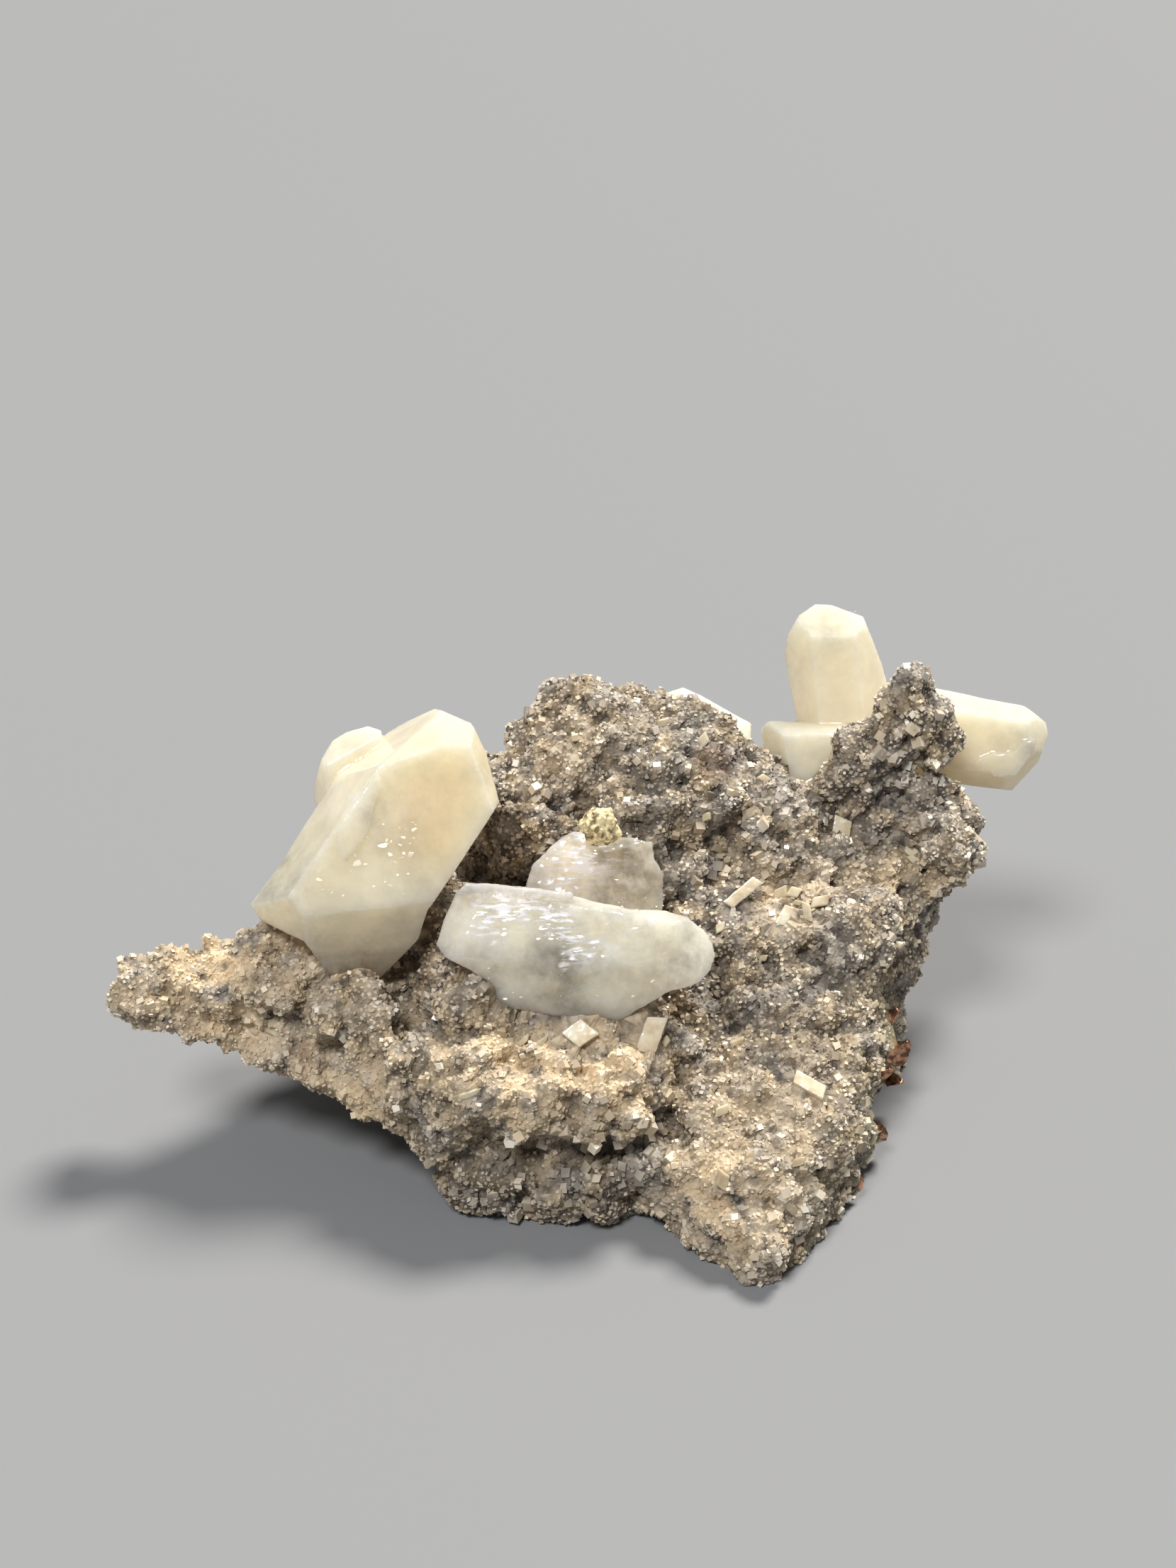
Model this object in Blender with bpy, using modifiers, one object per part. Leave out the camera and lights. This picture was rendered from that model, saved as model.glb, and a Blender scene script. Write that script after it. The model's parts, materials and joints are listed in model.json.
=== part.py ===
"""Stellar beam calcite: cream and clear calcite crystals grown on a plate of drusy dolomite."""

import bpy
import bmesh
from math import cos, radians, sin
from mathutils import Euler, Matrix, Vector
from mathutils.geometry import normal

MM = 0.001

# Fits and fineness of the solids, in millimetres
SEAT_GAP = 0.38
FLOOR_DEPTH = 6.0
COARSE_VOXEL = 0.6
FINE_VOXEL = 0.5
ROCK_SHARE = 0.085

# Swells of the broken rock: width and height, in millimetres
SWELLS = ((9.0, 1.5), (4.2, 1.1), (2.2, 0.7))

# The rock plate: plan outlines in millimetres, and each plane as (height, rise with x, rise with y)
TOE_SLAB = dict(
    outline=[(12.3, 0.8), (14.6, 4.9), (19.6, 11.2), (21.4, 17), (22.6, 24), (25.4, 29), (27.6, 33),
             (29.4, 36.4), (29, 39), (6, 38), (0, 26), (1.5, 14), (4, 12), (7, 8.4), (10, 4.2), (11.6, 1.2)],
    top=(3.0, 0, 0.44), bottom=(-1, 0, 0))
FLANK_SLAB = dict(
    outline=[(12, 0.4), (16.9, 6.2), (20.7, 10.8), (23, 17), (23.9, 24), (25, 29), (18, 29), (12, 8),
             (11, 1.4)],
    top=(2.2, 0, 0.32), bottom=(-1, 0, 0))
FOOT_SLAB = dict(
    outline=[(-36, 19.2), (-34, 17.4), (-28, 18.4), (-22, 15.9), (-16, 14), (-9, 9.4), (2, 10),
             (4, 24), (-4, 40), (-14, 41), (-19, 33), (-23, 28), (-28, 24.2), (-34, 22)],
    top=(11.2, -0.03, 0.17), bottom=(-0.9, -0.33, 0.1))
LEDGE_SLAB = dict(
    outline=[(-15, 12.4), (-9.5, 8.8), (-4, 8.3), (1, 8.6), (5, 11.3), (5.6, 14), (2, 20), (-12, 20)],
    top=(9.8, 0, 0.26), bottom=(6.4, 0, 0))
FRONT_SLAB = dict(
    outline=[(-10, 10.4), (-6, 7.8), (-1, 8.3), (4, 9.2), (6, 12), (2, 22), (-12, 22)],
    top=(10.5, 0, 0), bottom=(0.5, 0, 0))
BACK_SLAB = dict(
    outline=[(-16, 40), (-9, 30), (24, 26), (28.6, 36), (28, 43), (22, 49), (9, 51), (-7, 50), (-14, 46)],
    top=(13, 0, 0.12), bottom=(-1, 0, 0))
SLABS = [TOE_SLAB, FLANK_SLAB, FOOT_SLAB, LEDGE_SLAB, FRONT_SLAB, BACK_SLAB]

# Lumps of rock: centre, radii and turn about the vertical, in millimetres and degrees
LUMPS = [
    # The domed ridge behind the crystals
    ((0.6, 39, 23.5), (6.4, 7, 7.2), 0),
    ((6.6, 39, 22), (8, 8, 6.9), 0),
    ((13, 38, 19), (7, 7, 5.6), 0),
    ((-4.2, 35, 20.5), (4.2, 5, 6.4), 0),
    ((3, 33, 19.5), (8, 5, 5.4), 0),
    # Rough ground between the ridge and the toe
    ((12, 31, 13.5), (9, 6, 5), 20),
    ((19, 30, 14), (6, 7, 4.6), 0),
    ((18, 35, 17), (7, 5, 4.2), 0),
    # The pillar, its slanting root and the knob beside it
    ((26.6, 38.6, 30.3), (2.0, 2.1, 2.4), 0),
    ((27.4, 38.6, 27.7), (3.1, 2.4, 2.7), 0),
    ((24.2, 38, 26.1), (2.9, 2.2, 2.4), 0),
    ((21.4, 37.6, 23.2), (2.9, 2.4, 2.6), 0),
    ((22.2, 38, 20.4), (3.2, 3.0, 2.7), 0),
    ((25.2, 36.6, 21.8), (3.2, 1.5, 2.9), 0),
    ((29.2, 36.2, 18.8), (2.9, 4, 3.1), 0),
    ((25.6, 37.5, 16), (4, 6, 5), 0),
    ((22, 43.5, 17.6), (7.5, 4.5, 3.2), 0),
    # The mound that carries the large crystal, and the arm that ends in the foot
    ((-14, 27, 14.5), (6.5, 6, 5.2), 0),
    ((-24.4, 21.4, 13.4), (5.2, 4.2, 3.6), -20),
    ((-32.6, 19.4, 13.2), (3.8, 2.5, 2.3), -25),
    # Ground under the clear crystals
    ((-2, 24, 15), (8, 6, 4.6), 0),
    ((-8.4, 16, 13.6), (3.2, 3.6, 3.8), 0),
    ((0, 15.5, 11.4), (8, 4.4, 3.2), 0),
    # Crusts on the right flank, where the chalcopyrite sits
    ((23.8, 24.8, 6), (1.7, 2.8, 3.2), 0),
    ((22.4, 17.4, 2.6), (1.5, 2.6, 2.5), 0),
    # The broken back
    ((4, 45.5, 20), (9, 4.6, 4.6), 0),
    ((-7, 43, 17), (7, 5.4, 4.4), 0),
    ((-13.4, 38.5, 14), (4.4, 4.4, 4.2), 0),
    # Rim of the front ledge
    ((-9, 11, 11.8), (4, 2.4, 1.8), -20),
    ((-2.6, 10, 11.4), (4.2, 2, 2), 0),
    ((3, 11.4, 11.6), (2.6, 2.4, 2.2), 30),
]

# Spaces in the rock: centre, radii and turn about the vertical
HOLLOWS = [
    ((-14, 17.6, 15.4), (2.7, 5.4, 3.4), 15),
    ((-6.8, 27.5, 22.2), (1.7, 2.6, 2.2), 0),
    ((6.8, 29.4, 21.6), (2.6, 2.2, 1.6), 0),
    ((25.6, 34.0, 23.2), (2.3, 2.2, 2.4), 0),
    ((26.4, 33, 19.6), (1.4, 3, 1.4), 0),
    ((7.2, 12.6, 11.6), (1.8, 3, 1.8), 0),
    ((6.6, 9.4, 8), (2.2, 4.4, 2.8), 0),
    ((-1.6, 6.6, 6.2), (9, 4.4, 2.5), 0),
    ((36, 40, 2), (13, 15, 13.5), 0),
    ((17.5, 24.5, 14.8), (1.6, 1.6, 1.4), 0),
    # The undercut back and left side
    ((-2, 57, 7), (17, 9.6, 7.4), 0),
    ((-21, 40, 5), (6.5, 8, 6), 0),
    # The arched underside
    ((17, 38, -2.2), (7, 8, 3.8), 0),
    ((10.5, 11, -1.8), (4.2, 6.5, 2.7), 0),
    ((4, 27, -2.4), (13, 13, 6.2), 0),
    ((-13, 27, -1), (12, 11, 7.4), 0),
]

# Crystals: seat of the crystal's middle, how its plane leans back and swings, its outline in that plane,
# its front and back depth, and its faces, each through three points (x, y, depth), in millimetres
LARGE = dict(
    seat=(-16.5, 24, 24.3), lean=27, swing=5.7, front=5, back=-5.5,
    outline=[(-9.9, -3.9), (-7.2, -0.6), (-4.7, 3.1), (-2.5, 6), (0.6, 9), (5, 10.7), (7.7, 9.3),
             (8.8, 7), (9.6, 3.1), (5.4, -2.7), (3.7, -5), (2.9, -7.2), (0.7, -9.4), (-0.6, -10.6),
             (-2.2, -10.6), (-4.1, -9.8), (-5.8, -6.9), (-9.2, -5.2)],
    faces=[((-6, -2.3, 5), (0.4, 6.1, 5), (-4.7, 3.1, 0)),
           ((0.4, 6.1, 5), (-2.5, 5.5, 1.2), (4, 9.1, 2.5)),
           ((0.4, 6.1, 5), (5.4, 7.6, 5), (4, 9.1, 2.5)),
           ((5.4, 7.6, 5), (7.6, 7.4, 5), (6.6, 9.4, 2.4)),
           ((7.2, 8.2, 5), (8.9, 2.9, 5), (9.3, 5.6, 2)),
           ((-5.6, -5.5, 4.4), (3.7, -4.2, 5), (-0.6, -10.6, -1)),
           ((-7.4, -3.6, 4), (-5.6, -5.5, 4.4), (-9, -5.6, 0)),
           ((6.2, 2, -5.5), (-0.2, -6.4, -5.5), (5.4, -3, -1.5)),
           ((5.6, 6.6, -5.5), (-3.7, 5, -5.5), (1, 10, -2)),
           ((-8, -1.5, -5.5), (-2, 4.5, -5.5), (-6.5, 1.4, -2.5)),
           ((-6, -6, -5.5), (2, -6.6, -5.5), (-1.5, -10.8, -2.5))])
SMALL = dict(
    seat=(-19, 28.7, 28.2), lean=25, swing=6.4, front=2.2, back=-3,
    outline=[(-2.5, -2.4), (-2.7, -1.7), (-2.5, -0.1), (-1.9, 1.5), (-1, 2.9), (0.1, 3.5), (1.8, 3.9),
             (2.8, 3.5), (3.4, -1), (0.6, -3.8), (-1.1, -4.2)],
    faces=[((-1.4, 1.1, 2.2), (1.4, 2.5, 2.2), (0, 3.6, 0.4)),
           ((-1.7, 0.8, 2.2), (-1.6, -2, 2.2), (-2.6, -0.6, 0.6)),
           ((-1.8, 0.5, -3), (1.5, 2.6, -3), (-0.8, 3, -1.4))])
FRONT_CLEAR = dict(
    seat=(-1.6, 17, 19.1), lean=29.5, swing=0.6, front=2.3, back=-2.6,
    outline=[(-10, 0.5), (-9.4, 2.3), (-8.4, 4.5), (-7.6, 4.9), (-5.3, 4.9), (0, 4.2), (4.6, 3.1),
             (7.6, 2.9), (9.1, 2.4), (10.4, 1.5), (11.1, 0.5), (11.3, -0.5), (10.9, -1.6), (10.1, -2.4),
             (7.9, -3.1), (5.1, -4.7), (3.8, -5.5), (2.2, -5), (-1.1, -5), (-4.4, -4.3), (-5.3, -3.8),
             (-5.5, -2.7), (-7.6, -1.3), (-9.2, -0.5)],
    faces=[((-6.2, 4.2, 2.3), (-7.9, 0.8, 2.3), (-9.8, 1.5, 0.4)),
           ((8.4, 2.2, 2.3), (9.4, -1, 2.3), (11.2, 0, 0.4)),
           ((1, 3.2, 2.3), (8.4, 2.1, 2.3), (7.6, 3, 0.6)),
           ((-6, -0.6, 2.3), (8.4, -1.4, 2.3), (2, -5.2, -0.2)),
           ((-6, 3.5, -2.6), (7, 2, -2.6), (0, 4.6, -1)),
           ((-5, -2.4, -2.6), (7, -2.4, -2.6), (1, -5.4, -1.4))])
BROKEN_CLEAR = dict(
    seat=(0.6, 25, 21.7), lean=27.6, swing=-0.2, front=2.1, back=-2.1,
    outline=[(-5.9, -4.6), (-5.4, -1), (-4.9, 0.5), (-3.5, 1.9), (-2.2, 2.9), (-1.1, 3.2), (1.1, 2.9),
             (4.4, 2.3), (4.6, 1), (5.3, -0.2), (5.1, -4.8)],
    faces=[((-0.2, 2, 2.1), (-0.2, -2, 2.1), (5.2, -0.2, 0.8)),
           ((-0.2, 2, 2.1), (-0.2, -2, 2.1), (-5.4, -1, 1.2)),
           ((-3.5, 1.2, 2.1), (4.4, 1.4, 2.1), (0, 3.1, 0.2)),
           ((-4, 1, -2.1), (4.4, 1, -2.1), (0, 3.2, -1))])
BACK_PEAK = dict(
    seat=(9.6, 48, 24.2), lean=24, swing=-2.9, front=4, back=-4.2,
    outline=[(-6.5, 0.4), (-5.2, 1.4), (-3.5, 2.4), (-1.4, 3.1), (0.2, 2.4), (3, 0.9), (4.6, 0.1),
             (4.4, -3.1), (4, -7), (-5, -7), (-6.6, -3.7)],
    faces=[((-6.5, 0.2, 0.6), (-1.4, 3.1, 0.6), (-1.6, -1, 4)),
           ((5.8, -0.8, 0.6), (-1.4, 3.1, 0.6), (-1.6, -1, 4)),
           ((-6.5, 0.2, -0.6), (-1.4, 3.1, -0.6), (-1.6, 0, -4.2)),
           ((5.8, -0.8, -0.6), (-1.4, 3.1, -0.6), (-1.6, 0, -4.2))])
UPRIGHT = dict(
    seat=(21.2, 46, 30.4), lean=22.5, swing=-6.5, front=3.1, back=-3.6,
    outline=[(-2.2, -9), (-3.1, -4.8), (-3.9, -1.8), (-4.5, 0.8), (-4.3, 2.4), (-3.4, 4.2), (-2.1, 5.2),
             (-0.7, 5.2), (2, 4.3), (3, 2.1), (3.8, 0.3), (4.5, -1.8), (5, -9)],
    faces=[((-2.2, 2.4, 3.1), (-1.2, -5, 3.1), (-4.3, 0.8, 0.4)),
           ((-2.2, 2.4, 3.1), (1.4, 2.6, 3.1), (-0.6, 5.2, 0.2)),
           ((1.3, 2.8, 3.1), (2.6, -5, 3.1), (4, -0.4, 0.8)),
           ((-2.4, 2, -3.6), (-1.2, -5, -3.6), (-4.2, 0.8, -1.4)),
           ((-2, 1.6, -3.6), (2, 1.6, -3.6), (0, 5, -1)),
           ((2, 2, -3.6), (3, -5, -3.6), (4.2, -1, -1.6))])
TILTED = dict(
    seat=(32.9, 45, 23.9), lean=24, swing=-10, front=3.2, back=-3.4,
    outline=[(-10.5, -1), (-9.5, 4.4), (-5.7, 4.6), (-2.3, 4.2), (0.9, 3.7), (4.3, 3.3), (6.2, 2),
             (6.5, 1), (5.8, -1.4), (3.8, -4), (-0.4, -3.8), (-2.5, -3.5), (-9, -3.4)],
    faces=[((-7, 2.9, 3.2), (4, 2, 3.2), (0.9, 3.8, 0.6)),
           ((4.7, 2, 3.2), (5, -1.4, 3.2), (6.4, 0.6, 0.8)),
           ((-6, -2.2, 3.2), (3.4, -2.6, 3.2), (0, -3.9, 1)),
           ((2.8, -3, 3.2), (4.9, -0.6, 3.2), (5, -2.6, 0)),
           ((-7, 2.6, -3.4), (4, 1.6, -3.4), (0.9, 4, -1)),
           ((4.2, 2, -3.4), (4.4, -1.4, -3.4), (6.3, 0.6, -1)),
           ((-6, -2, -3.4), (3.4, -2, -3.4), (0, -3.9, -1))])
LOW = dict(
    seat=(20.2, 41.8, 24), lean=24.7, swing=-6.2, front=3, back=-3.4,
    outline=[(-5.6, 2), (-5, 2.7), (3.2, 2.7), (6.7, 1.4), (6.4, -4.4), (-3, -4.4), (-5.2, -0.8)],
    faces=[((-4.4, 1.5, 3), (3.2, 2, 3), (0, 2.8, 1.4)),
           ((-3.6, 1, 3), (-2.4, -4, 3), (-5, 1.8, 1)),
           ((-4.4, 1.2, -3.4), (3.2, 1.6, -3.4), (0, 2.7, -1.6))])

# Small white calcite crystals: middle, length, width, thickness, lean back, roll in the plane, swing
SMALL_BARS = {
    "white_bar": ((16.9, 12.9, 9.5), (2.9, 1.05, 1.0), 55, -32, 0),
    "white_stick_left": ((12.4, 27.2, 18.6), (3.4, 0.9, 0.8), 35, 40, 0),
    "white_stick_right": ((15.8, 26.4, 16.9), (2.0, 0.9, 0.8), 40, 60, 0),
    "white_block": ((21.0, 35.0, 20.6), (1.9, 1.3, 1.2), 35, -25, 0),
    "white_bar_right": ((27.0, 34.2, 18.4), (2.2, 0.95, 0.9), 30, -40, 0),
    "pale_pair": ((-0.6, 12.8, 14.2), (2.3, 1.7, 1.2), 40, 35, 0),
    "pale_blade": ((4.8, 13.4, 13.8), (3.2, 1.5, 0.9), 30, 70, 0),
}

# Chalcopyrite wedges on the right flank: middle, edge, turn
WEDGES = {
    "chalcopyrite_large": ((25.3, 23.9, 5.9), 1.55, (20, 35, 10)),
    "chalcopyrite_orange": ((25.1, 23.4, 3.3), 1.0, (70, 10, 40)),
    "chalcopyrite_inner": ((24.1, 22.3, 4.9), 0.85, (10, 60, 0)),
    "chalcopyrite_dark": ((24.9, 25.6, 8.2), 1.0, (30, 0, 60)),
    "chalcopyrite_low": ((23.2, 16.9, 2.6), 1.15, (50, 20, 10)),
    "chalcopyrite_flake": ((20.9, 11.5, 1.6), 0.75, (0, 40, 30)),
}

# The pitted dolomite lump that sits on the broken crystal
NUGGET_SEAT = (0.9, 23.6, 26.3)
NUGGET_RADII = (1.45, 1.35, 1.5)


def clear_scene():
    for obj in list(bpy.data.objects):
        bpy.data.objects.remove(obj)


def collection(name):
    made = bpy.data.collections.new(name)
    bpy.context.scene.collection.children.link(made)
    return made


def principled(name, colour, roughness, metallic=0.0, clearness=0.0):
    material = bpy.data.materials.new(name)
    material.use_nodes = True
    shader = material.node_tree.nodes["Principled BSDF"]
    shader.inputs["Base Color"].default_value = (*colour, 1)
    shader.inputs["Roughness"].default_value = roughness
    shader.inputs["Metallic"].default_value = metallic
    shader.inputs["Transmission Weight"].default_value = clearness
    return material


def add_object(name, mesh, home, material=None):
    obj = bpy.data.objects.new(name, mesh)
    home.objects.link(obj)
    if material:
        mesh.materials.append(material)
    return obj


def mesh_from(bm, name):
    """The mesh of a model made in millimetres, in metres."""
    bmesh.ops.scale(bm, vec=(MM, MM, MM), verts=bm.verts)
    bmesh.ops.recalc_face_normals(bm, faces=bm.faces)
    mesh = bpy.data.meshes.new(name)
    bm.to_mesh(mesh)
    bm.free()
    return mesh


def plate(outline, low, high):
    """A flat outline drawn as a filled curve and thickened from one depth to another, all in millimetres."""
    curve = bpy.data.curves.new("outline", "CURVE")
    curve.dimensions = "2D"
    curve.fill_mode = "BOTH"
    curve.extrude = (high - low) / 2
    spline = curve.splines.new("POLY")
    spline.points.add(len(outline) - 1)
    for point, (x, y) in zip(spline.points, outline):
        point.co = (x, y, 0, 1)
    spline.use_cyclic_u = True
    holder = bpy.data.objects.new("outline", curve)
    bpy.context.scene.collection.objects.link(holder)
    depsgraph = bpy.context.evaluated_depsgraph_get()
    mesh = bpy.data.meshes.new_from_object(holder.evaluated_get(depsgraph))
    bpy.data.objects.remove(holder)
    bm = bmesh.new()
    bm.from_mesh(mesh)
    bpy.data.meshes.remove(mesh)
    bmesh.ops.remove_doubles(bm, verts=bm.verts, dist=0.001)
    bmesh.ops.dissolve_limit(bm, angle_limit=radians(1), verts=bm.verts, edges=bm.edges)
    bmesh.ops.translate(bm, vec=(0, 0, (high + low) / 2), verts=bm.verts)
    return bm


def cut_face(bm, a, b, c):
    """Takes off all that lies beyond the plane through three points, seen from the crystal's middle."""
    facing = normal((Vector(a), Vector(b), Vector(c)))
    if facing.dot(Vector(a)) < 0:
        facing.negate()
    geometry = bm.verts[:] + bm.edges[:] + bm.faces[:]
    bmesh.ops.bisect_plane(bm, geom=geometry, plane_co=a, plane_no=facing, dist=0.0001, clear_outer=True)
    rim = [edge for edge in bm.edges if edge.is_boundary]
    if rim:
        bmesh.ops.edgeloop_fill(bm, edges=rim)


def standing(seat, lean, swing, roll=0):
    """Where a crystal stands: its plane is upright, leant back, rolled and swung about the vertical."""
    turned = Euler((radians(90 - lean), 0, radians(swing))).to_matrix().to_4x4()
    return Matrix.Translation(Vector(seat)) @ turned @ Matrix.Rotation(radians(roll), 4, "Z")


def cutter(name, mesh, group):
    """A shape that only takes rock away: it isn't part of the specimen."""
    obj = add_object(name, mesh, group)
    obj.hide_render = True
    obj.display_type = "WIRE"
    return obj


def unite(obj, other):
    """Joins a second growth to the crystal it grew through."""
    united = obj.modifiers.new(other.name, "BOOLEAN")
    united.operation = "UNION"
    united.object = other


def subtract(obj, tool):
    cut = obj.modifiers.new(tool.name, "BOOLEAN")
    cut.operation = "DIFFERENCE"
    cut.object = tool


def seat(name, mesh, seats):
    """Keeps the space that a seated piece takes, one gap larger all round."""
    bm = bmesh.new()
    bm.from_mesh(mesh)
    bm.normal_update()
    moves = [v.normal * min(v.calc_shell_factor(), 2) * SEAT_GAP * MM for v in bm.verts]
    for v, move in zip(bm.verts, moves):
        v.co += move
    grown = bpy.data.meshes.new(f"seat_{name}")
    bm.to_mesh(grown)
    bm.free()
    cutter(grown.name, grown, seats)


def crystal_mesh(name, seat, lean, swing, outline, front, back, faces):
    bm = plate(outline, back, front)
    for points in faces:
        cut_face(bm, *points)
    bmesh.ops.transform(bm, matrix=standing(seat, lean, swing), verts=bm.verts)
    return mesh_from(bm, name)


def crystal(name, growths, material, home, cutters, seats):
    """One solid of calcite from one growth, or from several that grew through each other."""
    first = add_object(name, crystal_mesh(name, **growths[0]), home, material)
    seat(name, first.data, seats)
    for number, growth in enumerate(growths[1:], start=2):
        mesh = crystal_mesh(f"{name}_growth_{number}", **growth)
        seat(mesh.name, mesh, seats)
        unite(first, cutter(mesh.name, mesh, cutters))
    return first


def bar(name, middle, size, lean, roll, swing, material, home, seats):
    """A small prism with a slanting end, as calcite breaks and grows."""
    length, width, thickness = size
    bm = bmesh.new()
    bmesh.ops.create_cube(bm, size=1, matrix=Matrix.Diagonal((length, width, thickness, 1)))
    slant = width / 7
    cut_face(bm, (length / 2 - slant, 0, 0), (length / 2, -width / 2, 0), (length / 2 - slant, 0, thickness))
    cut_face(bm, (slant - length / 2, 0, 0), (-length / 2, width / 2, 0), (slant - length / 2, 0, thickness))
    bmesh.ops.transform(bm, matrix=standing(middle, lean, swing, roll), verts=bm.verts)
    prism = add_object(name, mesh_from(bm, name), home, material)
    seat(name, prism.data, seats)
    return prism


def wedge(name, middle, edge, turn, material, home, seats):
    """A chalcopyrite crystal: a three-sided wedge with its corners cut off."""
    bm = bmesh.new()
    bmesh.ops.create_cone(bm, cap_ends=True, segments=3, radius1=edge, radius2=edge * 0.25, depth=edge * 1.5)
    for corner in range(3):
        angle = radians(120 * corner)
        out = Vector((sin(angle), cos(angle), -0.5)) * edge * 0.74
        side = Vector((cos(angle), -sin(angle), 0))
        cut_face(bm, out, out + side, out + out.cross(side))
    turned = Euler([radians(angle) for angle in turn]).to_matrix().to_4x4()
    bmesh.ops.transform(bm, matrix=Matrix.Translation(Vector(middle)) @ turned, verts=bm.verts)
    corner_piece = add_object(name, mesh_from(bm, name), home, material)
    seat(name, corner_piece.data, seats)
    return corner_piece


def clouds(name, width):
    texture = bpy.data.textures.new(name, "CLOUDS")
    texture.noise_scale = width * MM
    texture.noise_depth = 1
    return texture


def roughen(obj, width, height):
    swell = obj.modifiers.new("swell", "DISPLACE")
    swell.texture = clouds(f"swell_{width}", width)
    swell.texture_coords = "LOCAL"
    swell.strength = height * MM


def nugget(material, home, seats):
    bm = bmesh.new()
    size = Matrix.Diagonal((*NUGGET_RADII, 1))
    bmesh.ops.create_icosphere(bm, subdivisions=3, radius=1, matrix=Matrix.Translation(NUGGET_SEAT) @ size)
    lump = add_object("dolomite_lump", mesh_from(bm, "dolomite_lump"), home, material)
    roughen(lump, 1.2, 0.7)
    depsgraph = bpy.context.evaluated_depsgraph_get()
    seat(lump.name, bpy.data.meshes.new_from_object(lump.evaluated_get(depsgraph)), seats)
    return lump


def slab(outline, top, bottom):
    """A piece of plate over a plan outline, its top and underside two sloping planes."""
    bm = plate(outline, 0, 1)
    for v in bm.verts:
        height, along_x, along_y = top if v.co.z > 0.5 else bottom
        v.co.z = height + along_x * v.co.x + along_y * v.co.y
    return bm


def ellipsoid(centre, radii, turn):
    bm = bmesh.new()
    place = Matrix.Translation(centre) @ Matrix.Rotation(radians(turn), 4, "Z") @ Matrix.Diagonal((*radii, 1))
    bmesh.ops.create_icosphere(bm, subdivisions=3, radius=1, matrix=place)
    return bm


def together(shapes, name):
    """Several closed shapes as one mesh."""
    whole = bmesh.new()
    for bm in shapes:
        part = bpy.data.meshes.new("part")
        bm.to_mesh(part)
        bm.free()
        whole.from_mesh(part)
        bpy.data.meshes.remove(part)
    return mesh_from(whole, name)


def fuse(obj, voxel):
    skin = obj.modifiers.new("fuse", "REMESH")
    skin.mode = "VOXEL"
    skin.voxel_size = voxel * MM


def ground_cutter(cutters):
    bm = bmesh.new()
    place = Matrix.Translation((0, 25, -FLOOR_DEPTH / 2)) @ Matrix.Diagonal((120, 120, FLOOR_DEPTH, 1))
    bmesh.ops.create_cube(bm, size=1, matrix=place)
    return cutter("ground", mesh_from(bm, "ground"), cutters)


def matrix_rock(material, home, cutters, seats):
    shapes = [slab(**each) for each in SLABS] + [ellipsoid(*each) for each in LUMPS]
    rock = add_object("matrix", together(shapes, "matrix"), home, material)
    fuse(rock, COARSE_VOXEL)
    hollows = cutter("hollows", together([ellipsoid(*each) for each in HOLLOWS], "hollows"), cutters)
    fuse(hollows, COARSE_VOXEL)
    subtract(rock, hollows)
    fuse(rock, FINE_VOXEL)
    soften = rock.modifiers.new("soften", "SMOOTH")
    soften.iterations = 2
    for width, height in SWELLS:
        roughen(rock, width, height)
    thin = rock.modifiers.new("thin", "DECIMATE")
    thin.ratio = ROCK_SHARE
    subtract(rock, ground_cutter(cutters))
    seating = rock.modifiers.new("seats", "BOOLEAN")
    seating.operation = "DIFFERENCE"
    seating.operand_type = "COLLECTION"
    seating.collection = seats
    return rock


def settle(home, tools):
    """Moves everything so that the origin is under the middle of the specimen, on the surface it rests on."""
    depsgraph = bpy.context.evaluated_depsgraph_get()
    shapes = [piece.evaluated_get(depsgraph) for piece in home.objects]
    corners = [Vector(corner) for shape in shapes for corner in shape.bound_box]
    middle = [(min(c[axis] for c in corners) + max(c[axis] for c in corners)) / 2 for axis in range(2)]
    anchor = bpy.data.objects.new("specimen", None)
    bpy.context.scene.collection.objects.link(anchor)
    for group in [home] + tools:
        for obj in group.objects:
            obj.parent = anchor
    anchor.location = (-middle[0], -middle[1], 0)


def main():
    clear_scene()
    home = collection("stellar_beam_calcite")
    cutters = collection("cutters")
    seats = collection("seats")
    dolomite = principled("drusy_dolomite", (0.42, 0.38, 0.32), 0.75)
    cream = principled("cream_calcite", (0.83, 0.74, 0.52), 0.2, clearness=0.3)
    clear = principled("clear_calcite", (0.66, 0.65, 0.52), 0.15, clearness=0.6)
    white = principled("white_calcite", (0.86, 0.8, 0.72), 0.25)
    yellow = principled("yellow_dolomite", (0.55, 0.48, 0.24), 0.7)
    copper = principled("tarnished_chalcopyrite", (0.34, 0.1, 0.05), 0.3, metallic=0.9)
    growths = {
        "calcite_left": ([LARGE, SMALL], cream),
        "calcite_front": ([FRONT_CLEAR], clear),
        "calcite_broken": ([BROKEN_CLEAR], clear),
        "calcite_back": ([BACK_PEAK], cream),
        "calcite_right": ([LOW, UPRIGHT, TILTED], cream),
    }
    for name, (shapes, finish) in growths.items():
        crystal(name, shapes, finish, home, cutters, seats)
    nugget(yellow, home, seats)
    subtract(home.objects["calcite_broken"], seats.objects["seat_dolomite_lump"])
    for name, place in SMALL_BARS.items():
        bar(name, *place, white, home, seats)
    for name, place in WEDGES.items():
        wedge(name, *place, copper, home, seats)
    matrix_rock(dolomite, home, cutters, seats)
    settle(home, [cutters, seats])


main()
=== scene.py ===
"""Stellar beam calcite: cream and clear calcite crystals on a plate of drusy dolomite, with chalcopyrite."""

import json
from math import pi, radians
from random import Random

import bpy
import numpy as np
from mathutils import Euler, Matrix, Vector, noise
from mathutils.bvhtree import BVHTree

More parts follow.
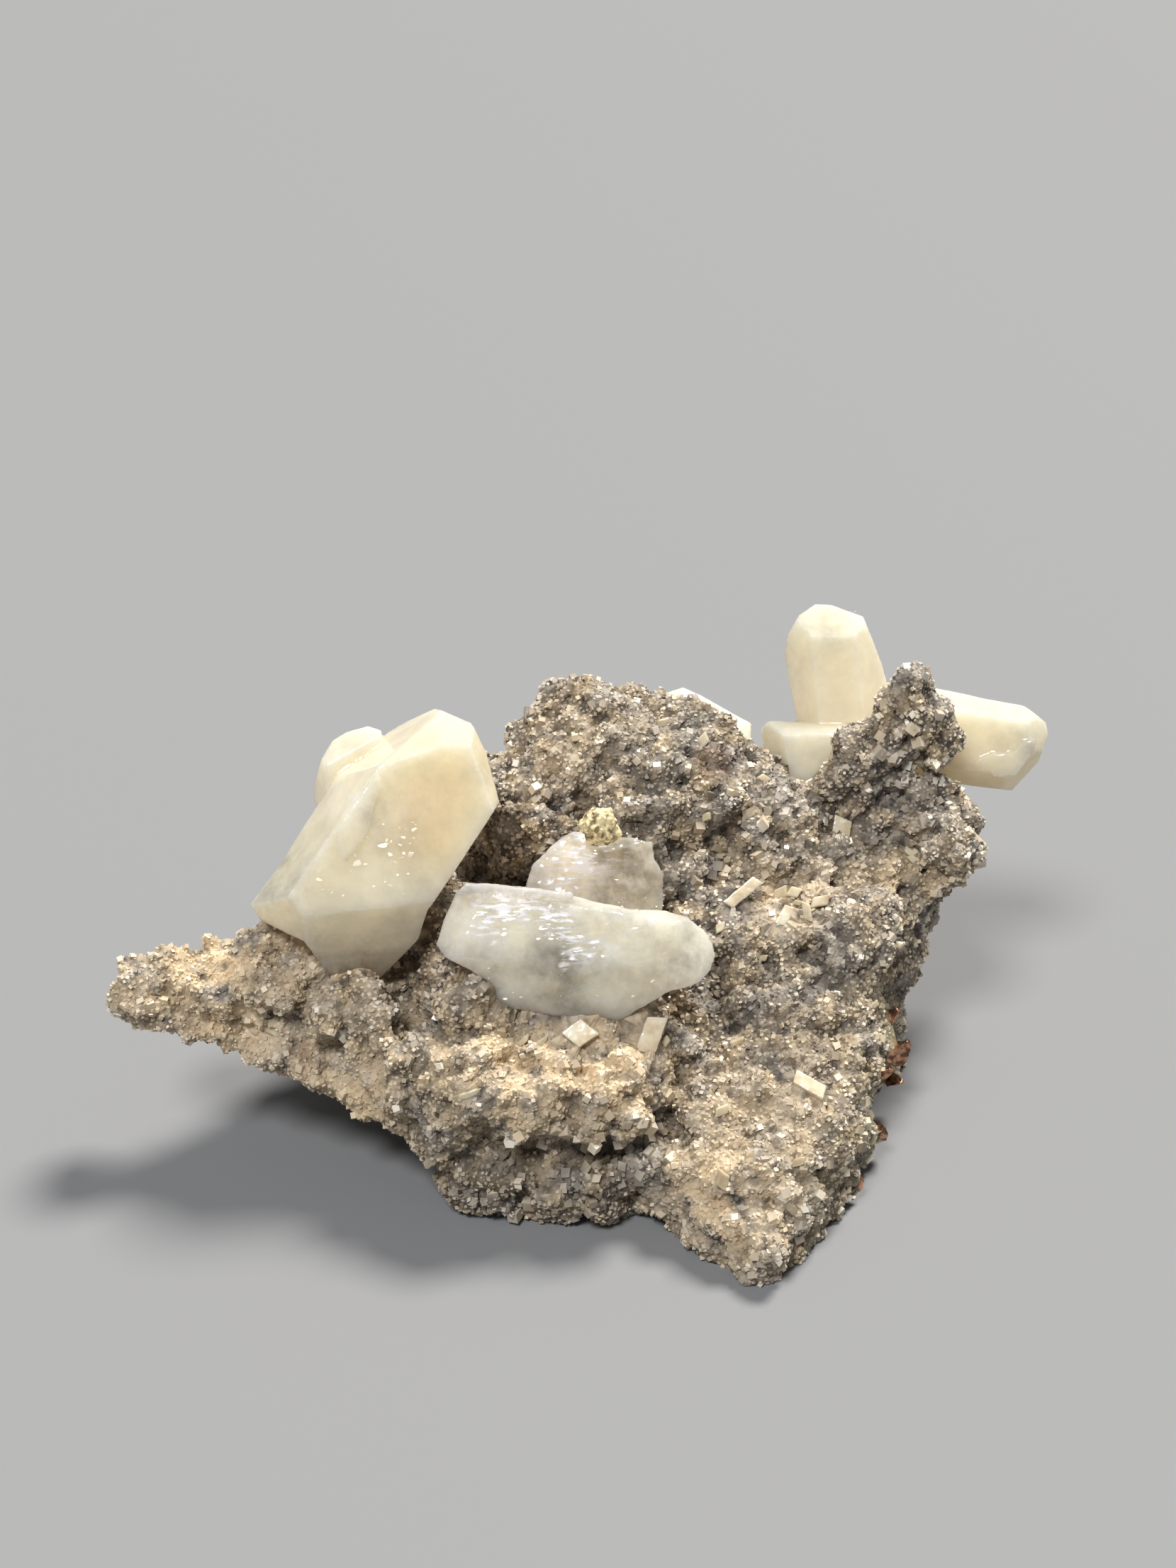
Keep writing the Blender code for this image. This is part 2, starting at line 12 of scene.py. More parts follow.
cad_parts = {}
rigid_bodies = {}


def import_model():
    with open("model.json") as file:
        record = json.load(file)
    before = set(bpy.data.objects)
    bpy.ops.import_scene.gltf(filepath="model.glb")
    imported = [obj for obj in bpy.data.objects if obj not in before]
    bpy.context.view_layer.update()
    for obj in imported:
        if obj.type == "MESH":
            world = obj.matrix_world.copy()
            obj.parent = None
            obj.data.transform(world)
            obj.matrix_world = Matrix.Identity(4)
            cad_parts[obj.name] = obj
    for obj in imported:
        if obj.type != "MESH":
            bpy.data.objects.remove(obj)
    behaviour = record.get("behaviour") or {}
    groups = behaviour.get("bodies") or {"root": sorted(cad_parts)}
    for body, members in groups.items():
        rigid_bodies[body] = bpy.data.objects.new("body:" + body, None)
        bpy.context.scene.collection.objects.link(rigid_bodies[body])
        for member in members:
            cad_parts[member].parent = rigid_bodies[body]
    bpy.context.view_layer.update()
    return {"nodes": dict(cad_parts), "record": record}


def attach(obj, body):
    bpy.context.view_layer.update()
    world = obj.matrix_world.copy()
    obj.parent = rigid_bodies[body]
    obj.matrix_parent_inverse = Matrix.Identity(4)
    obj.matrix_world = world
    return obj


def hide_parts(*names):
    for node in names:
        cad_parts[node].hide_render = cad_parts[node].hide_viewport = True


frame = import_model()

bl_info = {
    "name": "Stellar Beam Calcite",
    "version": (1, 0, 0),
    "blender": (4, 5, 0),
    "location": "View3D > Sidebar > Specimen",
    "description": "Cream and clear calcite crystals on drusy dolomite",
    "category": "Mesh",
}

# Sizes are in millimetres and angles in degrees, tilts and leans in radians, unless said otherwise
MM = 0.001

# Camera of the photograph
CAMERA_PLACE = (-1.613, -167.346, 108.5)
CAMERA_PITCH = 25.5
FOCAL_PIXELS = 3352.0
FRAME_HEIGHT = 2212.0
FILM = 36.0

# Where the two lights shine from, and the floor's side in metres
KEY_PLACE = (140, 150, 330)
FRONT_PLACE = (-90, -190, 300)
FLOOR_SIDE = 6

# Parts of the druse, each named for the place it covers: a point in it
DRUSE_PLACES = {
    "toe": (15, -17, 4), "ledge": (-5, -15, 11), "foot": (-26, -8, 11), "mound": (-13, 4, 14),
    "ridge": (5, 10, 25), "slope": (14, -1, 13), "pillar": (25, 11, 22), "back": (2, 22, 12),
}

# Where the crust changes, by kind: middle, reach and strength
ZONES = {
    # Tan crust on the foot, the ledge and the toe
    "warm": [
        ((-30, -6, 14), 9, 1.0), ((-20, -11, 7), 9, 0.8), ((-7, -16, 12), 7, 1.0),
        ((0, -16, 12.5), 6, 1.0), ((8, -22, 5), 6, 0.9), ((12, -16, 7), 8, 0.45), ((-4, 8, 27), 4, 0.4),
        ((15, 2, 18), 4, 0.8), ((24, 4, 18), 4, 0.5),
    ],
    # Iron stains
    "stain": [
        ((8.8, 8, 27), 2.0, 0.8), ((-23.6, -10.2, 10), 1.8, 0.8), ((-14, -6, 15), 2.0, 0.5),
        ((-34, -7, 13), 2.2, 0.6), ((9, -22, 5), 1.5, 0.5),
    ],
    # Greenish film on the right flank and the ledge
    "green": [
        ((22.4, -2.8, 6), 7, 0.9), ((21, -9, 2), 7, 0.8), ((16, -20, 2), 5, 0.5),
        ((-9, -12, 13), 2.5, 0.5),
    ],
    # Pale, glassy stretches
    "pale": [
        ((-24, -8, 12), 5, 0.6), ((23.5, 2, 28), 5, 0.6), ((17, 0, 15), 5, 0.6), ((13, 9, 23), 4, 0.5),
        ((2, 9, 29), 5, 0.4),
    ],
    # Dull grey stretches, and painted shade under the ledge and in crevices
    "dark": [
        ((13, -6, 12), 5, 0.7), ((18, -3, 13), 4, 0.8), ((-2, -16, 5), 6, 1.0), ((-8, -15, 4), 6, 1.0),
        ((-13, -14, 5), 5, 1.0), ((3, 2, 24), 4.5, 1.0), ((17, -17, 3), 5, 0.9), ((-9, -11, 14), 3.5, 0.7),
        ((4, 6, 23), 5, 0.8), ((-13, -5, 14), 4, 0.6),
    ],
    # Coarse grains
    "coarse": [
        ((-2, -17, 6), 7, 1.0), ((19, -14, 3), 6, 0.8), ((14, -24, 2), 4, 0.8), ((25, 9, 27), 5, 0.8),
        ((29, 8, 19), 5, 0.8), ((-6, 9, 22), 5, 0.7), ((10, 5, 20), 5, 0.6), ((0, 24, 10), 16, 0.7),
    ],
}
# Where the crust is knobbly
CRUSTY = [
    ((-30, -6, 14), 8, 0.9), ((-20, -9, 9), 8, 0.6), ((-8, -15, 12), 6, 1.0), ((0, -16, 12), 6, 1.0),
    ((-4, 8, 25), 5, 0.8), ((26, 10, 24), 7, 0.8), ((15, 2, 17), 4, 0.6),
]

# Sizes of the rock's relief: width and height
RUBBLE = ((6.0, 1.6), (2.6, 1.2))
CAVITIES = ((1.5, 0.7),)
BROKEN_BLOCKS = ((2.4, 1.8),)
CRUST_KNOBS = ((2.3, 2.8), (1.1, 1.5))
FINE_RUBBLE = ((0.8, 0.3),)
FINE_BLOCKS = ((0.62, 0.3),)
# Step of the rock's first skin against its last
COARSE = 1.3
# Texture value that leaves the rock where it is, and the height from a hollow to an edge
MID_LEVEL = 0.45
EDGE_HEIGHT = 0.5

# The relief is whole this far from a seated piece and from the ore, and has this share beside them
SEAT_FADE = 2.2
ORE_FADE = 6.0
LEAST_RELIEF = 0.15
# The rock stands back this far round the ore, between these distances from it
ORE_HOLLOW = 1.0
ORE_RIM = 1.2
ORE_REACH = 4.5
# The widest gap that the rock closes round a seated piece, and how far it grows into it
SEAT_GAP = 0.95
SEAT_BITE = 0.15
# No grain stands nearer to a seated piece than this, or lower
BARE_RIM = 0.3
BARE_FOOT = 0.15

# Grains: side and sunk depth, turns that stand a cube on its corner, stretch of each shape, most tilt
GRAIN_SIDE = 0.8
GRAIN_SUNK = 0.24
ON_CORNER = (45, 35.264)
GRAIN_SHAPES = {"grain_even": 0.76, "grain_flat": 0.58, "grain_steep": 0.98}
GRAIN_TILT = 1.2
# Points tried for each square of the spacing
TRIES = 2.2

# Layers of grains: spacing, least and most size, least and most tone (below 0 in dark specks), seed, where
DRUSE_LAYERS = [
    (0.33, (0.24, 0.44), (0.4, 0.54), 11, "all over"),
    (0.85, (0.45, 0.8), (0.4, 0.62), 41, "patches"),
    (0.9, (0.6, 1.15), (0.42, 0.62), 71, "coarse"),
    (3.2, (0.4, 0.75), (0.7, 0.9), 101, "all over"),
    (1.9, (0.28, 0.45), (-0.2, -0.1), 131, "all over"),
]

# Small pale crystals in the druse: place, length, width and turn
PALE_CRYSTALS = [
    ((13.9, 2.6, 17.6), 1.3, 1.1, 20), ((14.9, 1.9, 17.8), 1.1, 1.0, -10),
    ((16.8, 0.7, 17.9), 1.7, 1.0, 30), ((15.2, 1.5, 17.1), 0.8, 0.5, 0), ((14.8, 0.8, 16.4), 2.3, 0.6, 5),
    ((15.9, -0.5, 17.4), 1.7, 0.8, 80), ((11.6, -1.9, 14.1), 0.9, 0.6, -15),
    ((9.2, -1.1, 16.3), 0.9, 0.8, 30), ((10.9, -0.7, 15.7), 0.6, 0.5, 10),
    ((25.4, 6.8, 18.6), 1.3, 0.7, -50), ((21.5, -5.2, 11.9), 0.7, 0.5, 40),
    ((22.8, -0.1, 14.6), 1.7, 0.7, 5), ((9.8, 5.1, 19.4), 0.7, 0.6, 20), ((8.3, -14.8, 7.9), 1.2, 0.8, 30),
    ((16.3, -15.1, 7.5), 1.1, 0.6, 80), ((8.6, -21.2, 5.6), 1.4, 1.1, 60),
    ((10.1, -9.7, 10.3), 1.2, 0.8, 0), ((4.6, -12.8, 13.2), 0.8, 0.6, 45),
    ((-7.0, -14.1, 12.9), 1.6, 0.5, 60), ((-5.6, -14.3, 12.8), 1.7, 0.5, 30),
    ((-10.2, -17.5, 11.4), 2.0, 0.6, 10), ((-2.2, -15.9, 5.3), 1.2, 1.0, 80),
    ((-0.8, -17.3, 4.5), 1.2, 0.7, 30), ((1.0, -16.0, 6.6), 0.9, 0.6, 0), ((4.5, 11.3, 28.3), 1.1, 0.8, 0),
    ((7.6, 9.6, 27.8), 1.3, 1.0, 40), ((12.7, 9.4, 24.0), 1.0, 0.7, -20), ((7.3, 5.5, 23.3), 0.8, 0.7, 10),
    ((14.3, -19.0, 6.5), 1.0, 0.7, 20), ((-25, -6.5, 12.5), 1.6, 0.8, -20),
    ((-22, -3.5, 15), 1.4, 1.0, 50),
]

# Their slant, worn edge, stretch, height over the rock and most tilt
PALE_SLANT = (0.28, 0, 0.1)
WORN_EDGE = 0.09
PALE_STRETCH = (0.85, 0.8, 0.7)
PALE_RISE = 0.22
PALE_TILT = 0.35
PALE_SEED = 7

# Planes of the crystals as they stand: a point, lean back and swing
PLANES = {
    "large": ((-18.113, -2.346, 24.3), 27, 5.7),
    "front": ((-3.213, -9.346, 19.1), 29.5, 0.6),
    "broken": ((-1.013, -1.346, 21.7), 27.6, -0.2),
    "upright": ((19.587, 19.654, 30.4), 22.5, -6.5),
    "tilted": ((31.287, 18.654, 23.9), 24, -10),
}

# Milky, yellower and frosted stretches of the crystals, each a disc seen square to a crystal's plane: its
# middle along and up, its reach and how much it changes the base
MILK = {
    "calcite_left": {"large": [
        (-7.4, -1.4, 3.0, -0.16), (-9, -4, 2.2, -0.1), (-2, -10, 3.4, -0.34), (-6, -7.4, 2.0, -0.2),
        (-0.2, 2.6, 1.2, -0.2), (-1.5, -2.5, 3.2, 0.1), (7.5, 1, 3, 0.1), (-2, 4.2, 2.4, 0.1),
    ]},
    "calcite_front": {"front": [
        (-8, 1.5, 2.2, 0.2), (-3.5, 2.2, 3, 0.2), (-0.5, -1.6, 3.4, -0.2), (4, 0.5, 4, 0.1),
        (8.6, -0.8, 2.0, -0.16), (-4, -2.8, 1.6, 0.2), (3, -3.6, 2, 0.16),
    ]},
    "calcite_broken": {"broken": [(-3, 0, 2.8, 0.16), (2.6, -0.6, 3, -0.1)]},
    "calcite_right": {
        "upright": [(-0.6, 3.4, 2.2, -0.14), (0, -2, 3, 0.1)],
        "tilted": [(4.6, 0, 2.2, -0.14), (-2, 1, 3, 0.1)],
    },
}
CORE = {
    "calcite_left": {"large": [(5.4, 3.4, 4.6, 0.6), (4.4, -0.8, 3.2, 0.4), (0.2, -9, 3, 0.3)]},
    "calcite_right": {"tilted": [(2, -3, 3, 0.3)]},
}
FROST = {
    "calcite_left": {"large": [(-2.2, 3.6, 2.0, 0.35)]},
    "calcite_front": {"front": [
        (-4.2, 3.2, 1.9, 0.9), (-1.6, 2.8, 2.0, 1.0), (-0.2, 1.6, 1.6, 0.8), (1.0, -0.2, 1.5, 0.8),
        (2.6, -0.2, 1.3, 0.6), (-0.3, -1.2, 0.5, 1.0), (-6.4, 3.0, 2.0, 0.9), (-5.6, 1.4, 1.4, 0.6),
        (4.6, 1.6, 2.0, 0.3),
    ]},
    "calcite_broken": {"broken": [(-3, 0, 3.4, 0.6), (0, 2.5, 3, 0.5), (2, 0, 3, 0.3)]},
}

# Flecks and veils in the crystals, and in the front face of the large one: the crystal, its plane, least and
# most place along, up and out, least and most size, and how many
FLECKS = [
    ("calcite_left", "large", (-1.6, 3.8), (-1.4, 1.9), (4.96, 5.03), (0.2, 0.85), 30),
    ("calcite_left", "large", (-5.0, 2.6), (-3.8, -1.6), (4.96, 5.03), (0.15, 0.6), 18),
    ("calcite_front", "front", (-7.5, 8.0), (-3.8, 3.6), (0.9, 2.0), (0.1, 0.4), 60),
    ("calcite_broken", "broken", (-3.0, 4.0), (-3.0, 3.0), (0.6, 1.8), (0.1, 0.4), 26),
    ("calcite_right", "upright", (-3.0, 3.0), (-5.0, 5.0), (0.4, 1.6), (0.1, 0.35), 18),
]

# Their thickness, most lean, and least and most share of width and of lumpiness
FLECK_THICKNESS = 0.06
FLECK_LEAN = 0.5
FLECK_WIDTH = (0.3, 0.9)
FLECK_LUMPS = (0.5, 1.3)
FLECK_SEED = 21

# Layers grown on the crystals' faces: plane, outline along and up in it, least and most depth
GROWTH_LAYERS = {
    "calcite_left": ("large", [
        (0.3, 5.7), (-1.5, 3.4), (-3, 1.4), (-2.9, 0.1), (-2.4, -0.9), (-1.1, 0.4), (-0.3, 1.7),
        (-0.1, 2.9), (0.6, 4.5)], 4.2, 5.3),
    "calcite_front": ("front", [
        (-8.4, 4.3), (-7.5, 5.0), (-5.3, 5.0), (0.4, 4.3), (0.4, 3.95), (-5.3, 4.45), (-7.2, 4.3)],
        1.2, 2.75),
    "calcite_right": ("tilted", [
        (0.6, -1.6), (2.2, -2.9), (4, -2.6), (5.2, -0.6), (5.4, 0.6), (4.4, 0.2), (3.6, -0.8),
        (2, -0.9)], 2.4, 3.42),
}

# Each crystal piece: its skin's step against the first one's, how milky it is, and the width and height of
# its waves and of those etched into its frosted face
CRYSTALS = {
    "calcite_left": (1.0, 0.76, ((3.4, 0.05), (1.0, 0.018)), ((1.2, 0.03),)),
    "calcite_front": (0.85, 0.58, ((2.4, 0.12), (0.9, 0.07), (0.4, 0.03)), ((1.5, 0.16), (0.8, 0.1))),
    "calcite_broken": (0.85, 0.52, ((1.1, 0.14), (0.45, 0.06)), ((1.2, 0.1),)),
    "calcite_right": (1.15, 0.8, ((3.0, 0.05), (0.9, 0.016)), ()),
    "calcite_back": (1.15, 0.84, ((3.0, 0.05), (0.9, 0.016)), ()),
}
ETCHING_STRETCH = (1.0, 0.8, 0.22)
WAVE_SHIFT = (17.3, 5.1, 0)

# Skins of the small pieces, by slot: step, and width and height of the waves
SMALL_SKINS = {
    "white_calcite": (0.1, ((0.8, 0.05), (0.3, 0.02))),
    "yellow_dolomite": (0.1, ((0.9, 0.3), (0.4, 0.22))),
    "tarnished_chalcopyrite": (0.09, ((0.7, 0.06), (0.25, 0.03))),
}

# Edges flatter than this are shaded smooth
SMOOTH_ANGLE = 30


def linear(hex_colour):
    """An sRGB colour such as #EADBB8 as a linear red, green, blue and alpha."""
    parts = [int(hex_colour[i:i + 2], 16) / 255 for i in (1, 3, 5)]
    return [c / 12.92 if c <= 0.04045 else ((c + 0.055) / 1.055) ** 2.4 for c in parts] + [1.0]


def add_node(tree, kind, feeds=None, **settings):
    """Adds a node with its settings and links.

    kind is its type, without ShaderNode where it is a shader's. feeds gives each input, by name or number, a
    plain value, a hex colour, or what it is linked to: an output, or a node, whose first output in use is
    taken."""
    made = tree.nodes.new(kind if "Node" in kind else f"ShaderNode{kind}")
    for name, value in settings.items():
        setattr(made, name, value)
    in_use = {socket.name: socket for socket in list(made.inputs)[::-1] if socket.enabled}
    for name, value in (feeds or {}).items():
        socket = made.inputs[name] if isinstance(name, int) else in_use[name]
        if isinstance(value, bpy.types.Node):
            value = next(output for output in value.outputs if output.enabled)
        if isinstance(value, bpy.types.NodeSocket):
            tree.links.new(value, socket)
        elif isinstance(value, str) and value.startswith("#"):
            socket.default_value = linear(value)
        else:
            socket.default_value = value
    return made


def select_only(piece):
    bpy.ops.object.select_all(action="DESELECT")
    piece.select_set(True)
    bpy.context.view_layer.objects.active = piece


def apply_modifier(piece, kind, **settings):
    select_only(piece)
    modifier = piece.modifiers.new(kind.lower(), kind)
    for name, value in settings.items():
        setattr(modifier, name, value)
    bpy.ops.object.modifier_apply(modifier=modifier.name)


def new_object(name, data):
    made = bpy.data.objects.new(name, data)
    bpy.context.scene.collection.objects.link(made)
    return made


def merged_copy(node, name):
    """A copy of a frame node's mesh with its loose triangles merged, as a new object."""
    mesh = frame["nodes"][node].data.copy()
    mesh.name = name
    mesh.materials.clear()
    piece = new_object(name, mesh)
    select_only(piece)
    bpy.ops.object.mode_set(mode="EDIT")
    bpy.ops.mesh.select_all(action="SELECT")
    bpy.ops.mesh.remove_doubles(threshold=0.002 * MM)
    bpy.ops.object.mode_set(mode="OBJECT")
    return piece


def join_into(piece, others):
    """Joins other objects into the piece, as one mesh."""
    select_only(piece)
    for other in others:
        other.select_set(True)
    bpy.ops.object.join()


def points_of(mesh, what="co"):
    """The place of each vertex, or its normal, one to a row."""
    values = np.empty(len(mesh.vertices) * 3, np.float32)
    mesh.vertices.foreach_get(what, values)
    return values.reshape(-1, 3)


def move_points(mesh, places):
    mesh.vertices.foreach_set("co", np.asarray(places, np.float32).ravel())
    mesh.update()


def stand_on_floor(piece):
    """Flattens what reaches below the floor, and gives the piece's points."""
    places = points_of(piece.data)
    places[:, 2] = places[:, 2].clip(0)
    move_points(piece.data, places)
    return places


def store(mesh, name, values, kind="FLOAT"):
    attribute = mesh.attributes.new(name, kind, "POINT")
    attribute.data.foreach_set("value", values)


def near(distances, reach, strength):
    """How much a zone changes what lies at these distances from its middle: most inside, none outside."""
    return strength * np.clip(1.25 - distances / reach, 0, 1)


def colour_choice(name, what, hex_colour):
    return bpy.props.FloatVectorProperty(
        name=name, description=f"Colour of the {what}", subtype="COLOR", size=4, min=0, max=1,
        default=linear(hex_colour))


def number_choice(name, description, default, least=0.0, **settings):
    return bpy.props.FloatProperty(name=name, description=description, default=default, min=least, **settings)


def hand_in(piece, slot, *nodes):
    """The piece moves with the specimen and stands for frame nodes, which are hidden; slot is not used."""
    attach(piece, "root")
    if nodes:
        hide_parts(*nodes)


def finish_piece(piece, material, slot, node):
    """Gives a piece that stands for a node its material and its shading, attaches it to the specimen and
    hides the node.
    """
    piece.data.materials.append(material)
    select_only(piece)
    bpy.ops.object.shade_smooth_by_angle(angle=radians(SMOOTH_ANGLE))
    hand_in(piece, slot, node)


def plane_place(plane):
    """Millimetres along, up and out of a crystal's plane, as a transform to metres in the frame."""
    point, lean, swing = PLANES[plane]
    turned = Euler((radians(90 - lean), 0, radians(swing))).to_matrix().to_4x4()
    return Matrix.Scale(MM, 4) @ Matrix.Translation(Vector(point)) @ turned


# Materials

def new_material(name):
    material = bpy.data.materials.new(name)
    material.use_nodes = True
    tree = material.node_tree
    tree.nodes.clear()
    place = add_node(tree, "TexCoord").outputs["Object"]
    return material, tree, place


def patches(tree, place, width, detail, low, high, least=0.0, most=1.0, roughness=0.5):
    """Cloudy patches of about this width: least where the noise is low, most where it is high."""
    clouds = add_node(tree, "TexNoise", {
        "Vector": place, "Scale": 1 / (width * MM), "Detail": detail, "Roughness": roughness})
    return add_node(tree, "MapRange", {
        "Value": clouds, "From Min": low, "From Max": high, "To Min": least, "To Max": most})


def crust_colour(tree, place, colour, looks):
    """The crust's colour: greyer in washed patches, and changed where its zones say so."""
    patch = patches(tree, place, 2.0, 4.0, 0.36, 0.58)
    depth = patches(tree, place, 2.7, 4.0, 0.4, 0.6, 0.62, 1.08)
    colour = add_node(tree, "HueSaturation", {"Saturation": depth, "Color": colour})
    # The dark zones paint shade under the ledge and in crevices, besides dull grey crust
    tints = (("warm", looks.tan, 0.8), ("green", looks.film, 0.6), ("pale", looks.pale, 0.45),
             ("dark", looks.dull, 0.75), ("stain", looks.stain, 0.7))
    for kind, tint, strength in tints:
        zone = add_node(tree, "Attribute", attribute_name=kind).outputs["Fac"]
        whole = add_node(tree, "Math", {0: zone, 1: patch}, operation="MULTIPLY")
        share = add_node(tree, "Math", {0: whole, 1: strength}, operation="MULTIPLY")
        colour = add_node(tree, "Mix", {"Factor": share, "A": colour, "B": tint}, data_type="RGBA")
    return colour


def dolomite_ground(looks):
    """Dull, sugary dolomite between the grains, with pits: darker, as painted shade between them, darkest in
    hollows and lighter on edges, so that the grains stand out of it.
    """
    material, tree, place = new_material("dolomite_ground")
    raised = add_node(tree, "Attribute", attribute_name="raised").outputs["Fac"]
    cloudy = patches(tree, place, 1.1, 5.0, 0.36, 0.62)
    # Painted shade: dark in hollows, lighter on edges where the clouds allow
    share = add_node(tree, "Math", {0: raised, 1: cloudy}, operation="MULTIPLY")
    colour = add_node(tree, "Mix", {"Factor": share, "A": "#41372C", "B": "#BFAC8F"}, data_type="RGBA")
    grit = add_node(tree, "TexNoise", {"Vector": place, "Scale": 1 / (0.18 * MM), "Detail": 2.0})
    bump = add_node(tree, "Bump", {"Strength": 0.7, "Distance": 0.08 * MM, "Height": grit})
    shader = add_node(tree, "BsdfPrincipled", {
        "Base Color": crust_colour(tree, place, colour, looks), "Normal": bump, "Roughness": 0.65,
        "IOR": 1.6})
    add_node(tree, "OutputMaterial", {"Surface": shader})
    return material


def dolomite_grain(looks):
    """Dolomite rhombs: each has its own tone, neighbours are alike, grains in hollows are painted darker as
    shade and those on edges lighter, and pale ones are glassy and glint.
    """
    material, tree, place = new_material("dolomite_grain")
    tone = add_node(tree, "Attribute", attribute_name="tone").outputs["Fac"]
    drift = patches(tree, place, 2.6, 4.0, 0.3, 0.7, -0.18, 0.2)
    raised = add_node(tree, "Attribute", attribute_name="raised").outputs["Fac"]
    # Painted shade and light: grains in hollows are pushed down the ramp, those on edges up it
    hollow_shade_edge_light = add_node(tree, "MapRange", {"Value": raised, "To Min": -0.44, "To Max": 0.38})
    patchy = add_node(tree, "Math", {0: tone, 1: drift}, operation="ADD")
    shown = add_node(tree, "Math", {0: patchy, 1: hollow_shade_edge_light}, operation="ADD")
    ramp = add_node(tree, "ValToRGB", {"Fac": shown})
    stops = ramp.color_ramp.elements
    # The low end is the dark specks' colour and also the painted shade of grains deep in hollows
    stops[0].color = looks.pit_and_shade
    stops[1].color = linear("#F8F0E2")
    for place_on_ramp, tint in ((0.14, "#63574A"), (0.5, looks.grain), (0.8, "#D3C3A8"), (0.95, "#EEE2CE")):
        stop = stops.new(place_on_ramp)
        stop.color = linear(tint) if isinstance(tint, str) else tint
    gloss = add_node(tree, "MapRange", {
        "Value": tone, "From Min": 0.52, "From Max": 0.7, "To Min": 0.55, "To Max": 0.22})
    shader = add_node(tree, "BsdfPrincipled", {
        "Base Color": crust_colour(tree, place, ramp.outputs["Color"], looks), "Roughness": gloss,
        "IOR": 1.65})
    add_node(tree, "OutputMaterial", {"Surface": shader})
    return material


def calcite(name, milky, clear, tint, depth, looks):
    """Calcite, grown and see-through: milky stretches scatter the light, clear ones let it through.

    Its attributes say how milky, how yellow and how frosted each place is. milky and clear are the colours of
    the two, and tint the colour that the light takes on over depth millimetres."""
    material, tree, place = new_material(name)
    milk, core, frost = [add_node(tree, "Attribute", attribute_name=name).outputs["Fac"]
                         for name in ("milk", "core", "frost")]
    drift = patches(tree, place, 2.4, 7.0, 0.36, 0.64, -0.3, 0.3, 0.64)
    # The less milky a place is, the more patchy it is
    room = add_node(tree, "Math", {0: 1.05, 1: milk}, operation="SUBTRACT")
    share = add_node(tree, "Math", {0: drift, 1: room, 2: milk}, operation="MULTIPLY_ADD",
                     use_clamp=True)
    # Etched dashes run level across the face, about 1.2 by 0.25 mm
    level = add_node(tree, "Mapping", {"Vector": place, "Scale": (0.8, 1.2, 4.0)})
    marks = patches(tree, level, 1, 3.0, 0.42, 0.56)
    frosted = add_node(tree, "Math", {0: frost, 1: marks}, operation="MULTIPLY", use_clamp=True)
    scatter = add_node(tree, "Math", {0: share, 1: frosted}, operation="MAXIMUM")
    colour = add_node(tree, "Mix", {"Factor": share, "A": clear, "B": milky}, data_type="RGBA")
    for amount, shade in ((core, looks.core), (frosted, looks.frost)):
        colour = add_node(tree, "Mix", {"Factor": amount, "A": colour, "B": shade}, data_type="RGBA")
    fine = add_node(tree, "TexNoise", {
        "Vector": place, "Scale": 1 / (0.7 * MM), "Detail": 5.0, "Roughness": 0.65})
    bump = add_node(tree, "Bump", {"Strength": 0.2, "Distance": 0.03 * MM, "Height": fine})
    rough = add_node(tree, "MapRange", {"Value": frosted, "To Min": 0.08, "To Max": 0.4})
    shader = add_node(tree, "BsdfPrincipled", {
        "Base Color": colour, "Roughness": rough, "IOR": 1.6, "Normal": bump,
        "Transmission Weight": add_node(tree, "Math", {0: 1.0, 1: scatter}, operation="SUBTRACT"),
        "Subsurface Weight": 1.0, "Subsurface Radius": (1.0, 0.95, 0.86), "Subsurface Scale": 4.4 * MM})
    haze = add_node(tree, "VolumeAbsorption", {"Color": linear(tint), "Density": 1 / (depth * MM)})
    add_node(tree, "OutputMaterial", {"Surface": shader, "Volume": haze})
    return material


def white_calcite(name, dull, bright, milk):
    """Small calcite prisms, milky to glassy, white to pinkish, with a satin skin."""
    material, tree, place = new_material(name)
    share = patches(tree, place, 1.2, 4.0, 0.35, 0.65)
    colour = add_node(tree, "Mix", {"Factor": share, "A": dull, "B": bright}, data_type="RGBA")
    shader = add_node(tree, "BsdfPrincipled", {
        "Base Color": colour, "Roughness": 0.22, "IOR": 1.6, "Transmission Weight": 1 - milk,
        "Subsurface Weight": 0.7, "Subsurface Radius": (1.0, 0.85, 0.7), "Subsurface Scale": 0.6 * MM})
    add_node(tree, "OutputMaterial", {"Surface": shader})
    return material


def sealed_fleck():
    """White flecks and veils in the calcite: fine healed cracks that scatter the light."""
    material, tree, _ = new_material("sealed_fleck")
    shader = add_node(tree, "BsdfPrincipled", {"Base Color": "#FFF4DC", "Roughness": 0.4, "IOR": 1.45})
    add_node(tree, "OutputMaterial", {"Surface": shader})
    return material


def yellow_dolomite():
    """Pitted, iron-stained dolomite: golden, with dark brown pits."""
    material, tree, place = new_material("yellow_dolomite")
    pits = add_node(tree, "TexNoise", {"Vector": place, "Scale": 1 / (0.5 * MM), "Detail": 4.0})
    share = add_node(tree, "MapRange", {"Value": pits, "From Min": 0.38, "From Max": 0.56})
    colour = add_node(tree, "Mix", {"Factor": share, "A": "#75633E", "B": "#EEDDAE"}, data_type="RGBA")
    bump = add_node(tree, "Bump", {"Strength": 1.0, "Distance": 0.12 * MM, "Height": pits})
    shader = add_node(tree, "BsdfPrincipled", {
        "Base Color": colour, "Roughness": 0.5, "IOR": 1.6, "Normal": bump})
    add_node(tree, "OutputMaterial", {"Surface": shader})
    return material


